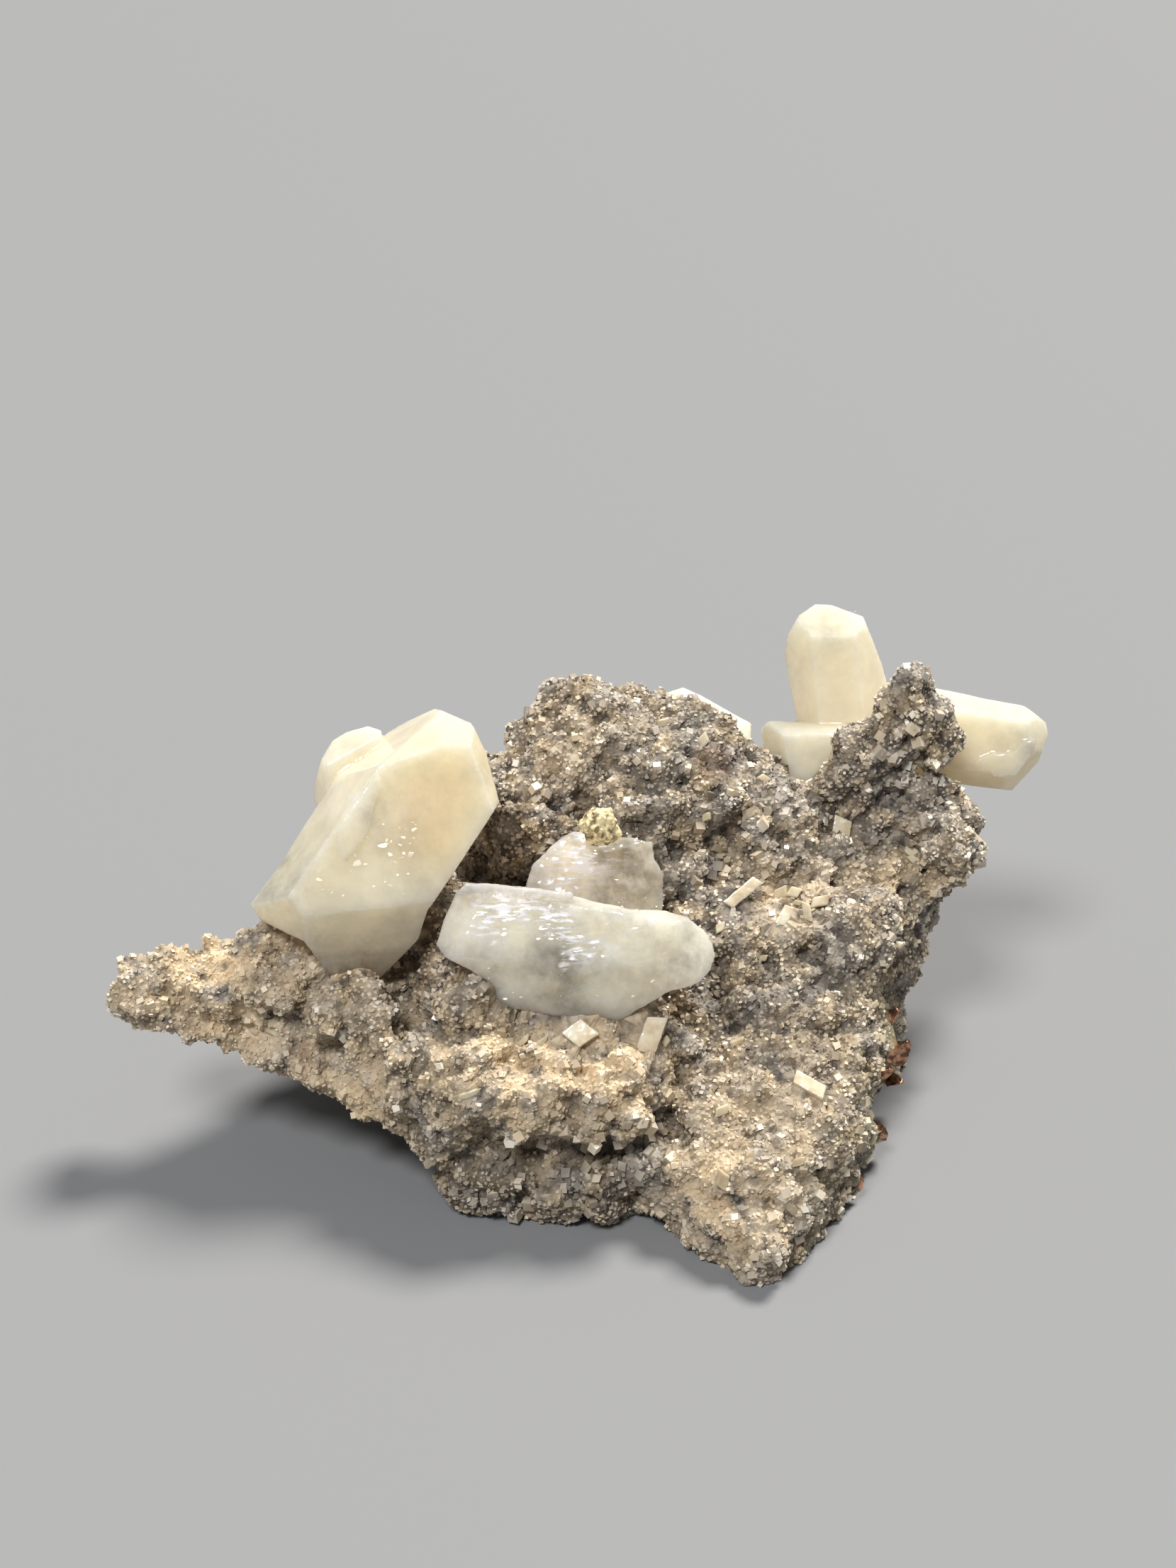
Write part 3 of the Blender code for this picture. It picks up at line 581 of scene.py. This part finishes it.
def tarnished_chalcopyrite():
    """Tarnished chalcopyrite: a brown metallic skin, with orange glints where the tarnish is thin."""
    material, tree, place = new_material("tarnished_chalcopyrite")
    share = patches(tree, place, 0.6, 4.0, 0.42, 0.66)
    colour = add_node(tree, "Mix", {"Factor": share, "A": "#6E5346", "B": "#E6B08C"}, data_type="RGBA")
    rough = patches(tree, place, 0.6, 4.0, 0.3, 0.7, 0.42, 0.2)
    shader = add_node(tree, "BsdfPrincipled", {"Base Color": colour, "Roughness": rough, "Metallic": 1.0})
    add_node(tree, "OutputMaterial", {"Surface": shader})
    return material


def floor_paper():
    """Plain, matt grey paper under the specimen, which the two lights make pale."""
    material, tree, _ = new_material("floor_paper")
    shader = add_node(tree, "BsdfPrincipled", {"Base Color": "#838486", "Roughness": 0.85})
    add_node(tree, "OutputMaterial", {"Surface": shader})
    return material


# Rock

def tree_of(names):
    """One search tree over several frame nodes."""
    corners, faces = [], []
    for name in names:
        mesh = frame["nodes"][name].data
        offset = len(corners)
        corners += [v.co.copy() for v in mesh.vertices]
        faces += [[offset + i for i in polygon.vertices] for polygon in mesh.polygons]
    return BVHTree.FromPolygons(corners, faces)


def seated_names():
    return [name for name in frame["nodes"] if name != "matrix"]


def close_seats(rock):
    """Grows the rock over the narrow gap round each seated piece, a little way into it, so they touch."""
    seated = tree_of(seated_names())
    for vertex in rock.data.vertices:
        place, normal = seated.find_nearest(vertex.co, SEAT_GAP * MM)[:2]
        if place is not None and (vertex.co - place).dot(normal) > 0:
            vertex.co = place - normal * (SEAT_BITE * MM)
    rock.data.update()


def zone_values(places, zones):
    """How strongly each place lies in some zones, from 0 to 1."""
    amount = np.zeros(len(places), np.float32)
    for middle, reach, strength in zones:
        distances = np.linalg.norm(places / MM - np.array(middle), axis=1)
        amount = np.maximum(amount, near(distances, reach, strength))
    return amount


def weigh(rock, name, values):
    """A vertex group that says how much of a relief each part of the rock takes."""
    group = rock.vertex_groups.new(name=name)
    for index, amount in enumerate(values):
        if amount > 0:
            group.add([index], float(amount), "REPLACE")


def spans_to(rock, names):
    """How far each vertex of the rock is from the nearest of some frame nodes, in millimetres."""
    tree = tree_of(names)
    return np.array([tree.find_nearest(vertex.co)[3] for vertex in rock.data.vertices]) / MM


def relief(rock, sizes, kind, strength, group="", **settings):
    """Displaces the rock by a texture, once for each width and height in millimetres."""
    for width, height in sizes:
        texture = bpy.data.textures.new(f"{kind}_{width}", kind)
        texture.noise_scale = width * MM
        for name, value in settings.items():
            setattr(texture, name, value)
        apply_modifier(rock, "DISPLACE", texture=texture, texture_coords="LOCAL", mid_level=MID_LEVEL,
                       strength=strength * height * MM, vertex_group=group)


def raised_share(rock):
    """How far each place stands out of its surroundings, from 0 in a hollow to 1 on an edge."""
    calm = new_object("calm", rock.data.copy())
    apply_modifier(calm, "SMOOTH", factor=0.5, iterations=14)
    away = points_of(rock.data) - points_of(calm.data)
    bpy.data.objects.remove(calm)
    out = (away * points_of(rock.data, "normal")).sum(axis=1)
    return (0.5 + out / (EDGE_HEIGHT * MM)).clip(0, 1)


class RockLooks(bpy.types.PropertyGroup):
    skin_step: number_choice(
        "Skin step", "Fineness of the rock's skin", 0.39 * MM, 0.2 * MM, unit="LENGTH", precision=5)
    rubble: number_choice("Rubble", "Height of the broken rubble against the real one", 1.0)
    knobs: number_choice("Knobs", "Height of the knobbly crust against the real one", 1.0)
    grain: colour_choice("Grain", "middling dolomite grains", "#AC9D86")
    # Colour of the dark specks, and of the painted shade of grains deep in hollows
    pit_and_shade: colour_choice("Pit", "dark specks in the druse", "#2E241D")
    tan: colour_choice("Tan crust", "tan crust on the ledge and the foot", "#EAD2AC")
    film: colour_choice("Greenish film", "film on the right flank", "#97926F")
    pale: colour_choice("Glassy stretches", "palest druse", "#DDD2C0")
    # Colour of the dull grey druse, and of the painted shade under the ledge and in crevices
    dull: colour_choice("Dull stretches", "dull grey druse", "#4C4337")
    stain: colour_choice("Iron stain", "iron stains", "#7F5A3A")


class SPECIMEN_OT_rock(bpy.types.Operator):
    """Broken dolomite rock under the druse"""
    bl_idname = "specimen.rock"
    bl_label = "Rock"

    def execute(self, context):
        looks = context.scene.rock_looks
        rock = merged_copy("matrix", "rock")
        apply_modifier(rock, "REMESH", mode="VOXEL", voxel_size=looks.skin_step * COARSE)
        # The relief fades beside the seated crystals, and the rock stands back from the chalcopyrite
        from_ore = spans_to(rock, [name for name in frame["nodes"] if name.startswith("chalcopyrite")])
        from_seated = spans_to(rock, seated_names())
        free = np.minimum(from_seated / SEAT_FADE, from_ore / ORE_FADE).clip(LEAST_RELIEF, 1)
        weigh(rock, "free", free)
        weigh(rock, "hollow", (from_ore / ORE_RIM).clip(0, 1) * near(from_ore, ORE_REACH, 1))
        apply_modifier(rock, "DISPLACE", strength=-ORE_HOLLOW * MM, mid_level=0, vertex_group="hollow")
        weigh(rock, "knobs", free * zone_values(points_of(rock.data), CRUSTY))
        relief(rock, RUBBLE, "CLOUDS", 2 * looks.rubble, "free", noise_depth=2)
        relief(rock, CAVITIES, "MUSGRAVE", looks.rubble, "free", musgrave_type="RIDGED_MULTIFRACTAL")
        relief(rock, BROKEN_BLOCKS, "VORONOI", -looks.rubble, "free", distance_metric="CHEBYCHEV")
        relief(rock, CRUST_KNOBS, "VORONOI", -looks.knobs, "knobs")
        apply_modifier(rock, "REMESH", mode="VOXEL", voxel_size=looks.skin_step)
        relief(rock, FINE_RUBBLE, "CLOUDS", 2 * looks.rubble, noise_depth=3)
        relief(rock, FINE_BLOCKS, "VORONOI", -looks.rubble, distance_metric="CHEBYCHEV")
        close_seats(rock)
        places = stand_on_floor(rock)
        # How far each place stands out, by which the materials paint shade into hollows and light onto edges
        store(rock.data, "raised", raised_share(rock))
        for kind, zones in ZONES.items():
            store(rock.data, kind, zone_values(places, zones))
        middles = np.array(list(DRUSE_PLACES.values()), np.float32)
        spans = np.linalg.norm(places[:, None] / MM - middles[None], axis=2)
        store(rock.data, "place", spans.argmin(axis=1).astype(np.int32), "INT")
        seated = tree_of(seated_names())
        bare = [seated.find_nearest(v.co, BARE_RIM * MM)[0] is not None or v.co.z < BARE_FOOT * MM
                for v in rock.data.vertices]
        store(rock.data, "bare", np.array(bare, np.float32))
        rock.data.materials.append(dolomite_ground(looks))
        hand_in(rock, "drusy_dolomite", "matrix")
        return {"FINISHED"}


# Druse

def rhomb(name, stretch, home):
    """A dolomite rhomb about one unit across, stood on its corner, with its foot sunk below its origin."""
    bpy.ops.mesh.primitive_cube_add(size=GRAIN_SIDE * MM)
    grain = bpy.context.object
    grain.name = name
    grain.rotation_euler = (radians(ON_CORNER[0]), radians(ON_CORNER[1]), 0)
    bpy.ops.object.transform_apply(location=False, rotation=True, scale=False)
    bpy.ops.object.mode_set(mode="EDIT")
    bpy.ops.mesh.select_all(action="SELECT")
    bpy.ops.transform.resize(value=(1, 1, stretch), center_override=(0, 0, 0))
    bpy.ops.transform.translate(value=(0, 0, -GRAIN_SUNK * MM))
    bpy.ops.object.mode_set(mode="OBJECT")
    for owner in list(grain.users_collection):
        owner.objects.unlink(grain)
    home.objects.link(grain)


def grain_shapes():
    """Three shapes of grain: an even rhomb, a flat one and a steep one."""
    home = bpy.data.collections.new("grains")
    bpy.context.scene.collection.children.link(home)
    for name, stretch in GRAIN_SHAPES.items():
        rhomb(name, stretch, home)
    return home


def druse_layer(tree, rock, selection, grains, layer):
    """One layer of grains, spaced over the rock: each has a turn, a tilt, a size and a tone of its own."""
    spacing, sizes, tones, seed, where = layer
    feeds = {"Mesh": rock, "Selection": selection, "Distance Min": spacing * MM,
             "Density Max": TRIES / (spacing * MM) ** 2, "Seed": seed}
    if where == "patches":
        cloud = add_node(tree, "TexNoise", {"Scale": 1 / (3.2 * MM), "Detail": 1.0})
        feeds["Density Factor"] = add_node(tree, "MapRange", {
            "Value": cloud, "From Min": 0.44, "From Max": 0.6})
    elif where != "all over":
        feeds["Density Factor"] = add_node(tree, "GeometryNodeInputNamedAttribute", {"Name": where})
    points = add_node(tree, "GeometryNodeDistributePointsOnFaces", feeds, distribute_method="POISSON")
    most_turn = (GRAIN_TILT, GRAIN_TILT, pi)
    ranges = (([-angle for angle in most_turn], most_turn, "FLOAT_VECTOR"), (*sizes, "FLOAT"),
              (0, len(GRAIN_SHAPES) - 1, "INT"), (*tones, "FLOAT"))
    spin, size, shape, tone = [
        add_node(tree, "FunctionNodeRandomValue", {"Min": least, "Max": most, "Seed": seed + number},
                 data_type=kind)
        for number, (least, most, kind) in enumerate(ranges, 1)]
    turn = add_node(tree, "FunctionNodeEulerToRotation", {"Euler": spin})
    turned = add_node(tree, "FunctionNodeRotateRotation", {
        "Rotation": points.outputs["Rotation"], "Rotate By": turn}, rotation_space="LOCAL")
    placed = add_node(tree, "GeometryNodeInstanceOnPoints", {
        "Points": points, "Instance": grains, "Pick Instance": True, "Instance Index": shape,
        "Rotation": turned, "Scale": size})
    return add_node(tree, "GeometryNodeStoreNamedAttribute", {
        "Geometry": placed, "Name": "tone", "Value": tone}, data_type="FLOAT", domain="INSTANCE")


def druse_tree(home, material):
    """Covers one place of the rock with layers of grains and realizes them as one mesh."""
    tree = bpy.data.node_groups.new("druse", "GeometryNodeTree")
    tree.interface.new_socket("Geometry", in_out="INPUT", socket_type="NodeSocketGeometry")
    chosen = tree.interface.new_socket("Place", in_out="INPUT", socket_type="NodeSocketInt")
    tree.interface.new_socket("Geometry", in_out="OUTPUT", socket_type="NodeSocketGeometry")
    given = add_node(tree, "NodeGroupInput")
    grains = add_node(tree, "GeometryNodeCollectionInfo", {
        "Collection": home, "Separate Children": True, "Reset Children": True})
    place = add_node(tree, "GeometryNodeInputNamedAttribute", {"Name": "place"}, data_type="INT")
    here = add_node(tree, "FunctionNodeCompare", {"A": place, "B": given.outputs["Place"]},
                    data_type="INT", operation="EQUAL")
    bare = add_node(tree, "GeometryNodeInputNamedAttribute", {"Name": "bare"})
    open_rock = add_node(tree, "FunctionNodeCompare", {"A": bare, "B": 0.5}, operation="LESS_THAN")
    selection = add_node(tree, "FunctionNodeBooleanMath", {0: here, 1: open_rock}, operation="AND")
    joined = add_node(tree, "GeometryNodeJoinGeometry")
    for layer in DRUSE_LAYERS:
        made = druse_layer(tree, given.outputs["Geometry"], selection, grains, layer)
        tree.links.new(made.outputs[0], joined.inputs[0])
    real = add_node(tree, "GeometryNodeRealizeInstances", {"Geometry": joined})
    finished = add_node(tree, "GeometryNodeSetMaterial", {"Geometry": real, "Material": material})
    add_node(tree, "NodeGroupOutput", {"Geometry": finished})
    return tree, chosen.identifier


class SPECIMEN_OT_druse(bpy.types.Operator):
    """Crust of dolomite grains on the rock"""
    bl_idname = "specimen.druse"
    bl_label = "Druse"

    def execute(self, context):
        home = grain_shapes()
        tree, place_input = druse_tree(home, dolomite_grain(context.scene.rock_looks))
        rock = bpy.data.objects["rock"]
        for number, place in enumerate(DRUSE_PLACES):
            crust = new_object(f"druse_{place}", rock.data.copy())
            select_only(crust)
            cover = crust.modifiers.new("cover", "NODES")
            cover.node_group = tree
            cover[place_input] = number
            bpy.ops.object.modifier_apply(modifier=cover.name)
            stand_on_floor(crust)
            hand_in(crust, "drusy_dolomite")
        for grain in list(home.objects):
            bpy.data.objects.remove(grain)
        bpy.data.collections.remove(home)
        return {"FINISHED"}


def pale_prism():
    """A small calcite crystal: a bar one unit long and wide, with slanting ends and edges rounded by wear."""
    bpy.ops.mesh.primitive_cube_add(size=MM)
    bar = bpy.context.object
    for corner in bar.data.vertices:
        if corner.co.y > 0:
            corner.co += Vector(PALE_SLANT) * MM
    bpy.ops.object.mode_set(mode="EDIT")
    bpy.ops.mesh.select_all(action="SELECT")
    bpy.ops.mesh.bevel(offset=WORN_EDGE * MM, segments=1, affect="EDGES")
    bpy.ops.object.mode_set(mode="OBJECT")
    return bar


class SPECIMEN_OT_pale_crystals(bpy.types.Operator):
    """Small pale crystals scattered in the druse"""
    bl_idname = "specimen.pale_crystals"
    bl_label = "Pale crystals"

    def execute(self, context):
        bar = pale_prism()
        rock = bpy.data.objects["rock"]
        corners = [v.co for v in rock.data.vertices]
        skin = BVHTree.FromPolygons(corners, [p.vertices for p in rock.data.polygons])
        seen = Euler((radians(90 - CAMERA_PITCH), 0, 0)).to_matrix()
        chance = Random(PALE_SEED)
        copies = []
        for number, (place, length, width, turn) in enumerate(PALE_CRYSTALS):
            seat, normal = skin.find_nearest(Vector(place) * MM)[:2]
            tilt = Euler([chance.uniform(-PALE_TILT, PALE_TILT) for axis in range(3)]).to_matrix()
            facing = seen @ Matrix.Rotation(radians(turn), 3, "Z") @ tilt
            stretch = [share * side for share, side in zip(PALE_STRETCH, (length, width, width))]
            middle = seat + normal * PALE_RISE * width * MM
            mesh = bar.data.copy()
            mesh.transform(Matrix.Translation(middle) @ (facing @ Matrix.Diagonal(stretch)).to_4x4())
            copies.append(new_object(f"pale_{number}", mesh))
        bpy.data.objects.remove(bar)
        piece = copies[0]
        join_into(piece, copies[1:])
        piece.name = "pale_crystals"
        piece.data.materials.append(white_calcite("pale_calcite", "#C4B291", "#EBDFC4", 0.85))
        hand_in(piece, "white_calcite")
        return {"FINISHED"}


# Crystals

def growth_layer(plane, outline, low, high):
    """A thin plate on a crystal's face: its outline in the plane, between two depths, in millimetres."""
    curve = bpy.data.curves.new("layer", "CURVE")
    curve.dimensions = "2D"
    curve.fill_mode = "BOTH"
    curve.extrude = (high - low) / 2
    line = curve.splines.new("POLY")
    line.points.add(len(outline) - 1)
    for point, (along, up) in zip(line.points, outline):
        point.co = (along, up, 0, 1)
    line.use_cyclic_u = True
    select_only(new_object("layer", curve))
    bpy.ops.object.convert(target="MESH")
    flat = bpy.context.object
    bpy.ops.object.mode_set(mode="EDIT")
    bpy.ops.mesh.select_all(action="SELECT")
    bpy.ops.mesh.remove_doubles(threshold=0.001)
    bpy.ops.mesh.normals_make_consistent(inside=False)
    bpy.ops.object.mode_set(mode="OBJECT")
    flat.data.transform(plane_place(plane) @ Matrix.Translation((0, 0, (low + high) / 2)))
    return flat


def crystal_skin(node, name, step):
    """A node's solid with a skin fine enough for growth marks: flat faces, and edges one step wide."""
    piece = merged_copy(node, name)
    if node in GROWTH_LAYERS:
        join_into(piece, [growth_layer(*GROWTH_LAYERS[node])])
    guide = new_object("guide", piece.data.copy())
    apply_modifier(piece, "REMESH", mode="VOXEL", voxel_size=step)
    apply_modifier(piece, "SHRINKWRAP", target=guide, wrap_method="NEAREST_SURFACEPOINT")
    bpy.data.objects.remove(guide)
    return piece


def waves(piece, sizes, share=1.0, stretch=(1, 1, 1)):
    """Moves the skin in and out by waves, each given by its width and height in millimetres."""
    places = points_of(piece.data) / MM
    moved = np.zeros(len(places), np.float32)
    for number, (width, height) in enumerate(sizes):
        shift = Vector(WAVE_SHIFT) * number
        at = places / (np.array(stretch) * width)
        moved += [height * noise.noise(Vector(p) + shift) for p in at]
    move_points(piece.data, (places + points_of(piece.data, "normal") * (moved * share)[:, None]) * MM)


def paint(piece, name, base, spots):
    """Stores how milky, yellow or frosted each place is: a base, changed near spots in crystals' planes."""
    places = points_of(piece.data)
    amount = np.full(len(places), base, np.float32)
    for plane, changes in spots.items():
        back = np.array(plane_place(plane).inverted(), np.float32)
        seen = places @ back[:3, :3].T + back[:3, 3]
        for along, up, reach, change in changes:
            amount += near(np.hypot(seen[:, 0] - along, seen[:, 1] - up), reach, change)
    amount = amount.clip(0, 1)
    store(piece.data, name, amount)
    return amount


def grow_crystal(node, skin, material, slot):
    """Grows one crystal piece: its skin, its waves, its painted stretches and its etched face."""
    fineness, milk, swell, etching = CRYSTALS[node]
    piece = crystal_skin(node, f"{node}_crystal", fineness * skin)
    waves(piece, swell)
    paint(piece, "milk", milk, MILK.get(node, {}))
    paint(piece, "core", 0.0, CORE.get(node, {}))
    frost = paint(piece, "frost", 0.0, FROST.get(node, {}))
    if etching:
        waves(piece, etching, frost, ETCHING_STRETCH)
    finish_piece(piece, material, slot, node)


class CalciteLooks(bpy.types.PropertyGroup):
    cream: colour_choice("Cream calcite", "milky crystals", "#FFEACE")
    cream_clear: colour_choice("Clear stretches", "cream crystals where they are clear", "#FFF2E0")
    core: colour_choice("Yellow core", "yellow core in the large crystal", "#F3E0B4")
    frost: colour_choice("Frost", "etched and frosted faces", "#FBF4F6")
    milky_front: colour_choice("Front crystal, milky", "front crystal where it is cloudy", "#FFEFDB")
    clear_front: colour_choice("Front crystal, clear", "front crystal where it is clear", "#FFF2E2")
    skin: number_choice(
        "Skin step", "Fineness of the crystals' skin", 0.18 * MM, 0.08 * MM, unit="LENGTH", precision=5)


class SPECIMEN_OT_left_calcite(bpy.types.Operator):
    """Large cream crystal with the small one that overlaps it"""
    bl_idname = "specimen.left_calcite"
    bl_label = "Left calcite"

    def execute(self, context):
        looks = context.scene.calcite_looks
        material = calcite("milky_calcite_left", looks.cream, looks.cream_clear, "#F8EACF", 20, looks)
        grow_crystal("calcite_left", looks.skin, material, "cream_calcite")
        return {"FINISHED"}


class SPECIMEN_OT_clear_calcite(bpy.types.Operator):
    """Clear front crystal and the broken one behind it"""
    bl_idname = "specimen.clear_calcite"
    bl_label = "Clear calcite"

    def execute(self, context):
        looks = context.scene.calcite_looks
        front = calcite("clear_calcite_front", looks.milky_front, looks.clear_front, "#EFE7CE", 16, looks)
        grow_crystal("calcite_front", looks.skin, front, "clear_calcite")
        broken = calcite("clear_calcite_broken", looks.milky_front, "#CFC6AC", "#E0D9BC", 12, looks)
        grow_crystal("calcite_broken", looks.skin, broken, "clear_calcite")
        return {"FINISHED"}


class SPECIMEN_OT_right_calcite(bpy.types.Operator):
    """Upright, tilted and low crystals at the right, and the one behind the ridge"""
    bl_idname = "specimen.right_calcite"
    bl_label = "Right calcite"

    def execute(self, context):
        looks = context.scene.calcite_looks
        material = calcite("milky_calcite_right", looks.cream, looks.cream_clear, "#F9ECD6", 20, looks)
        for node in ("calcite_right", "calcite_back"):
            grow_crystal(node, looks.skin, material, "cream_calcite")
        return {"FINISHED"}


class SPECIMEN_OT_flecks(bpy.types.Operator):
    """White flecks and veils in the calcite"""
    bl_idname = "specimen.flecks"
    bl_label = "Flecks"

    def execute(self, context):
        material = sealed_fleck()
        chance = Random(FLECK_SEED)
        bpy.ops.mesh.primitive_ico_sphere_add(subdivisions=1, radius=0.5)
        seed = bpy.context.object
        flecks = {}
        for node, plane, along, up, out, sizes, count in FLECKS:
            for number in range(count):
                middle = [chance.uniform(*span) for span in (along, up, out)]
                size = chance.uniform(*sizes)
                turns = [chance.uniform(-FLECK_LEAN, FLECK_LEAN) for axis in range(3)]
                lean = Euler(turns).to_matrix().to_4x4()
                flat = Matrix.Diagonal((size, size * chance.uniform(*FLECK_WIDTH), FLECK_THICKNESS, 1))
                mesh = seed.data.copy()
                for corner in mesh.vertices:
                    corner.co *= chance.uniform(*FLECK_LUMPS)
                mesh.transform(plane_place(plane) @ Matrix.Translation(middle) @ lean @ flat)
                flecks.setdefault(node, []).append(new_object(f"fleck_{number}", mesh))
        bpy.data.objects.remove(seed)
        for node, found in flecks.items():
            piece = found[0]
            join_into(piece, found[1:])
            piece.name = f"{node}_flecks"
            piece.data.materials.append(material)
            hand_in(piece, "white_calcite")
        return {"FINISHED"}


class SPECIMEN_OT_small_pieces(bpy.types.Operator):
    """Small white calcites, the pitted lump and the chalcopyrite"""
    bl_idname = "specimen.small_pieces"
    bl_label = "Small pieces"

    def execute(self, context):
        finishes = {
            "white_calcite": white_calcite("white_calcite", "#DECAA8", "#FAF0DA", 0.85),
            "yellow_dolomite": yellow_dolomite(),
            "tarnished_chalcopyrite": tarnished_chalcopyrite(),
        }
        for part in frame["record"]["subparts"]:
            slot, node = part["material_slot"], part["node"]
            if slot in finishes:
                step, sizes = SMALL_SKINS[slot]
                piece = crystal_skin(node, f"{node}_piece", step * MM)
                waves(piece, sizes)
                finish_piece(piece, finishes[slot], slot, node)
        return {"FINISHED"}


# Stage

class StageSettings(bpy.types.PropertyGroup):
    key_strength: number_choice(
        "Key light", "Strength of the soft light from behind and above the right side", 4.5)
    front_strength: number_choice(
        "Front light", "Strength of the soft light from high above the camera", 2.35)
    softness: number_choice(
        "Softness", "Width of both lights as the specimen sees them", radians(17), subtype="ANGLE")
    sky: number_choice("Surrounding light", "Strength of the even light all round", 0.22)


def soft_light(name, place, strength, angle, colour):
    """A wide, even light that shines from a place towards the specimen."""
    lamp = bpy.data.lights.new(name, "SUN")
    lamp.angle = angle
    lamp.energy = strength
    lamp.color = linear(colour)[:3]
    holder = new_object(name, lamp)
    holder.location = Vector(place) * MM
    holder.rotation_euler = (-Vector(place)).to_track_quat("-Z", "Y").to_euler()


class SPECIMEN_OT_stage(bpy.types.Operator):
    """Floor, soft light and the photograph's camera"""
    bl_idname = "specimen.stage"
    bl_label = "Stage"

    def execute(self, context):
        settings = context.scene.stage_settings
        bpy.ops.mesh.primitive_plane_add(size=FLOOR_SIDE)
        floor = bpy.context.object
        floor.name = "floor"
        floor.data.materials.append(floor_paper())
        soft_light("key_light", KEY_PLACE, settings.key_strength, settings.softness, "#FFFBF4")
        soft_light("front_light", FRONT_PLACE, settings.front_strength, settings.softness, "#FFFFFF")
        world = bpy.data.worlds.new("studio")
        world.use_nodes = True
        even_light = world.node_tree.nodes["Background"].inputs
        even_light["Color"].default_value = linear("#EFF1F4")
        even_light["Strength"].default_value = settings.sky
        context.scene.world = world
        context.scene.view_settings.view_transform = "Standard"
        lens = bpy.data.cameras.new("camera")
        lens.sensor_width = FILM
        lens.lens = FOCAL_PIXELS / FRAME_HEIGHT * FILM
        lens.clip_start = 0.01
        camera = new_object("camera", lens)
        camera.location = Vector(CAMERA_PLACE) * MM
        camera.rotation_euler = (radians(90 - CAMERA_PITCH), 0, 0)
        context.scene.camera = camera
        return {"FINISHED"}


STEPS = (
    SPECIMEN_OT_rock,
    SPECIMEN_OT_druse,
    SPECIMEN_OT_pale_crystals,
    SPECIMEN_OT_left_calcite,
    SPECIMEN_OT_clear_calcite,
    SPECIMEN_OT_right_calcite,
    SPECIMEN_OT_flecks,
    SPECIMEN_OT_small_pieces,
    SPECIMEN_OT_stage,
)


class SPECIMEN_PT_panel(bpy.types.Panel):
    """Lists the steps that build the specimen"""
    bl_label = "Stellar Beam Calcite"
    bl_idname = "SPECIMEN_PT_panel"
    bl_space_type = "VIEW_3D"
    bl_region_type = "UI"
    bl_category = "Specimen"

    def draw(self, context):
        scene = context.scene
        for key, group in GROUPS.items():
            for name in group.__annotations__:
                self.layout.prop(getattr(scene, key), name)
        for step in STEPS:
            self.layout.operator(step.bl_idname)


GROUPS = {"rock_looks": RockLooks, "calcite_looks": CalciteLooks, "stage_settings": StageSettings}
CLASSES = (*GROUPS.values(), *STEPS, SPECIMEN_PT_panel)


def register():
    for each in CLASSES:
        bpy.utils.register_class(each)
    for name, group in GROUPS.items():
        setattr(bpy.types.Scene, name, bpy.props.PointerProperty(type=group))


def unregister():
    for name in GROUPS:
        delattr(bpy.types.Scene, name)
    for each in reversed(CLASSES):
        bpy.utils.unregister_class(each)


def main():
    register()
    for step in STEPS:
        group, action = step.bl_idname.split(".")
        getattr(getattr(bpy.ops, group), action)()


if __name__ == "__main__":
    main()
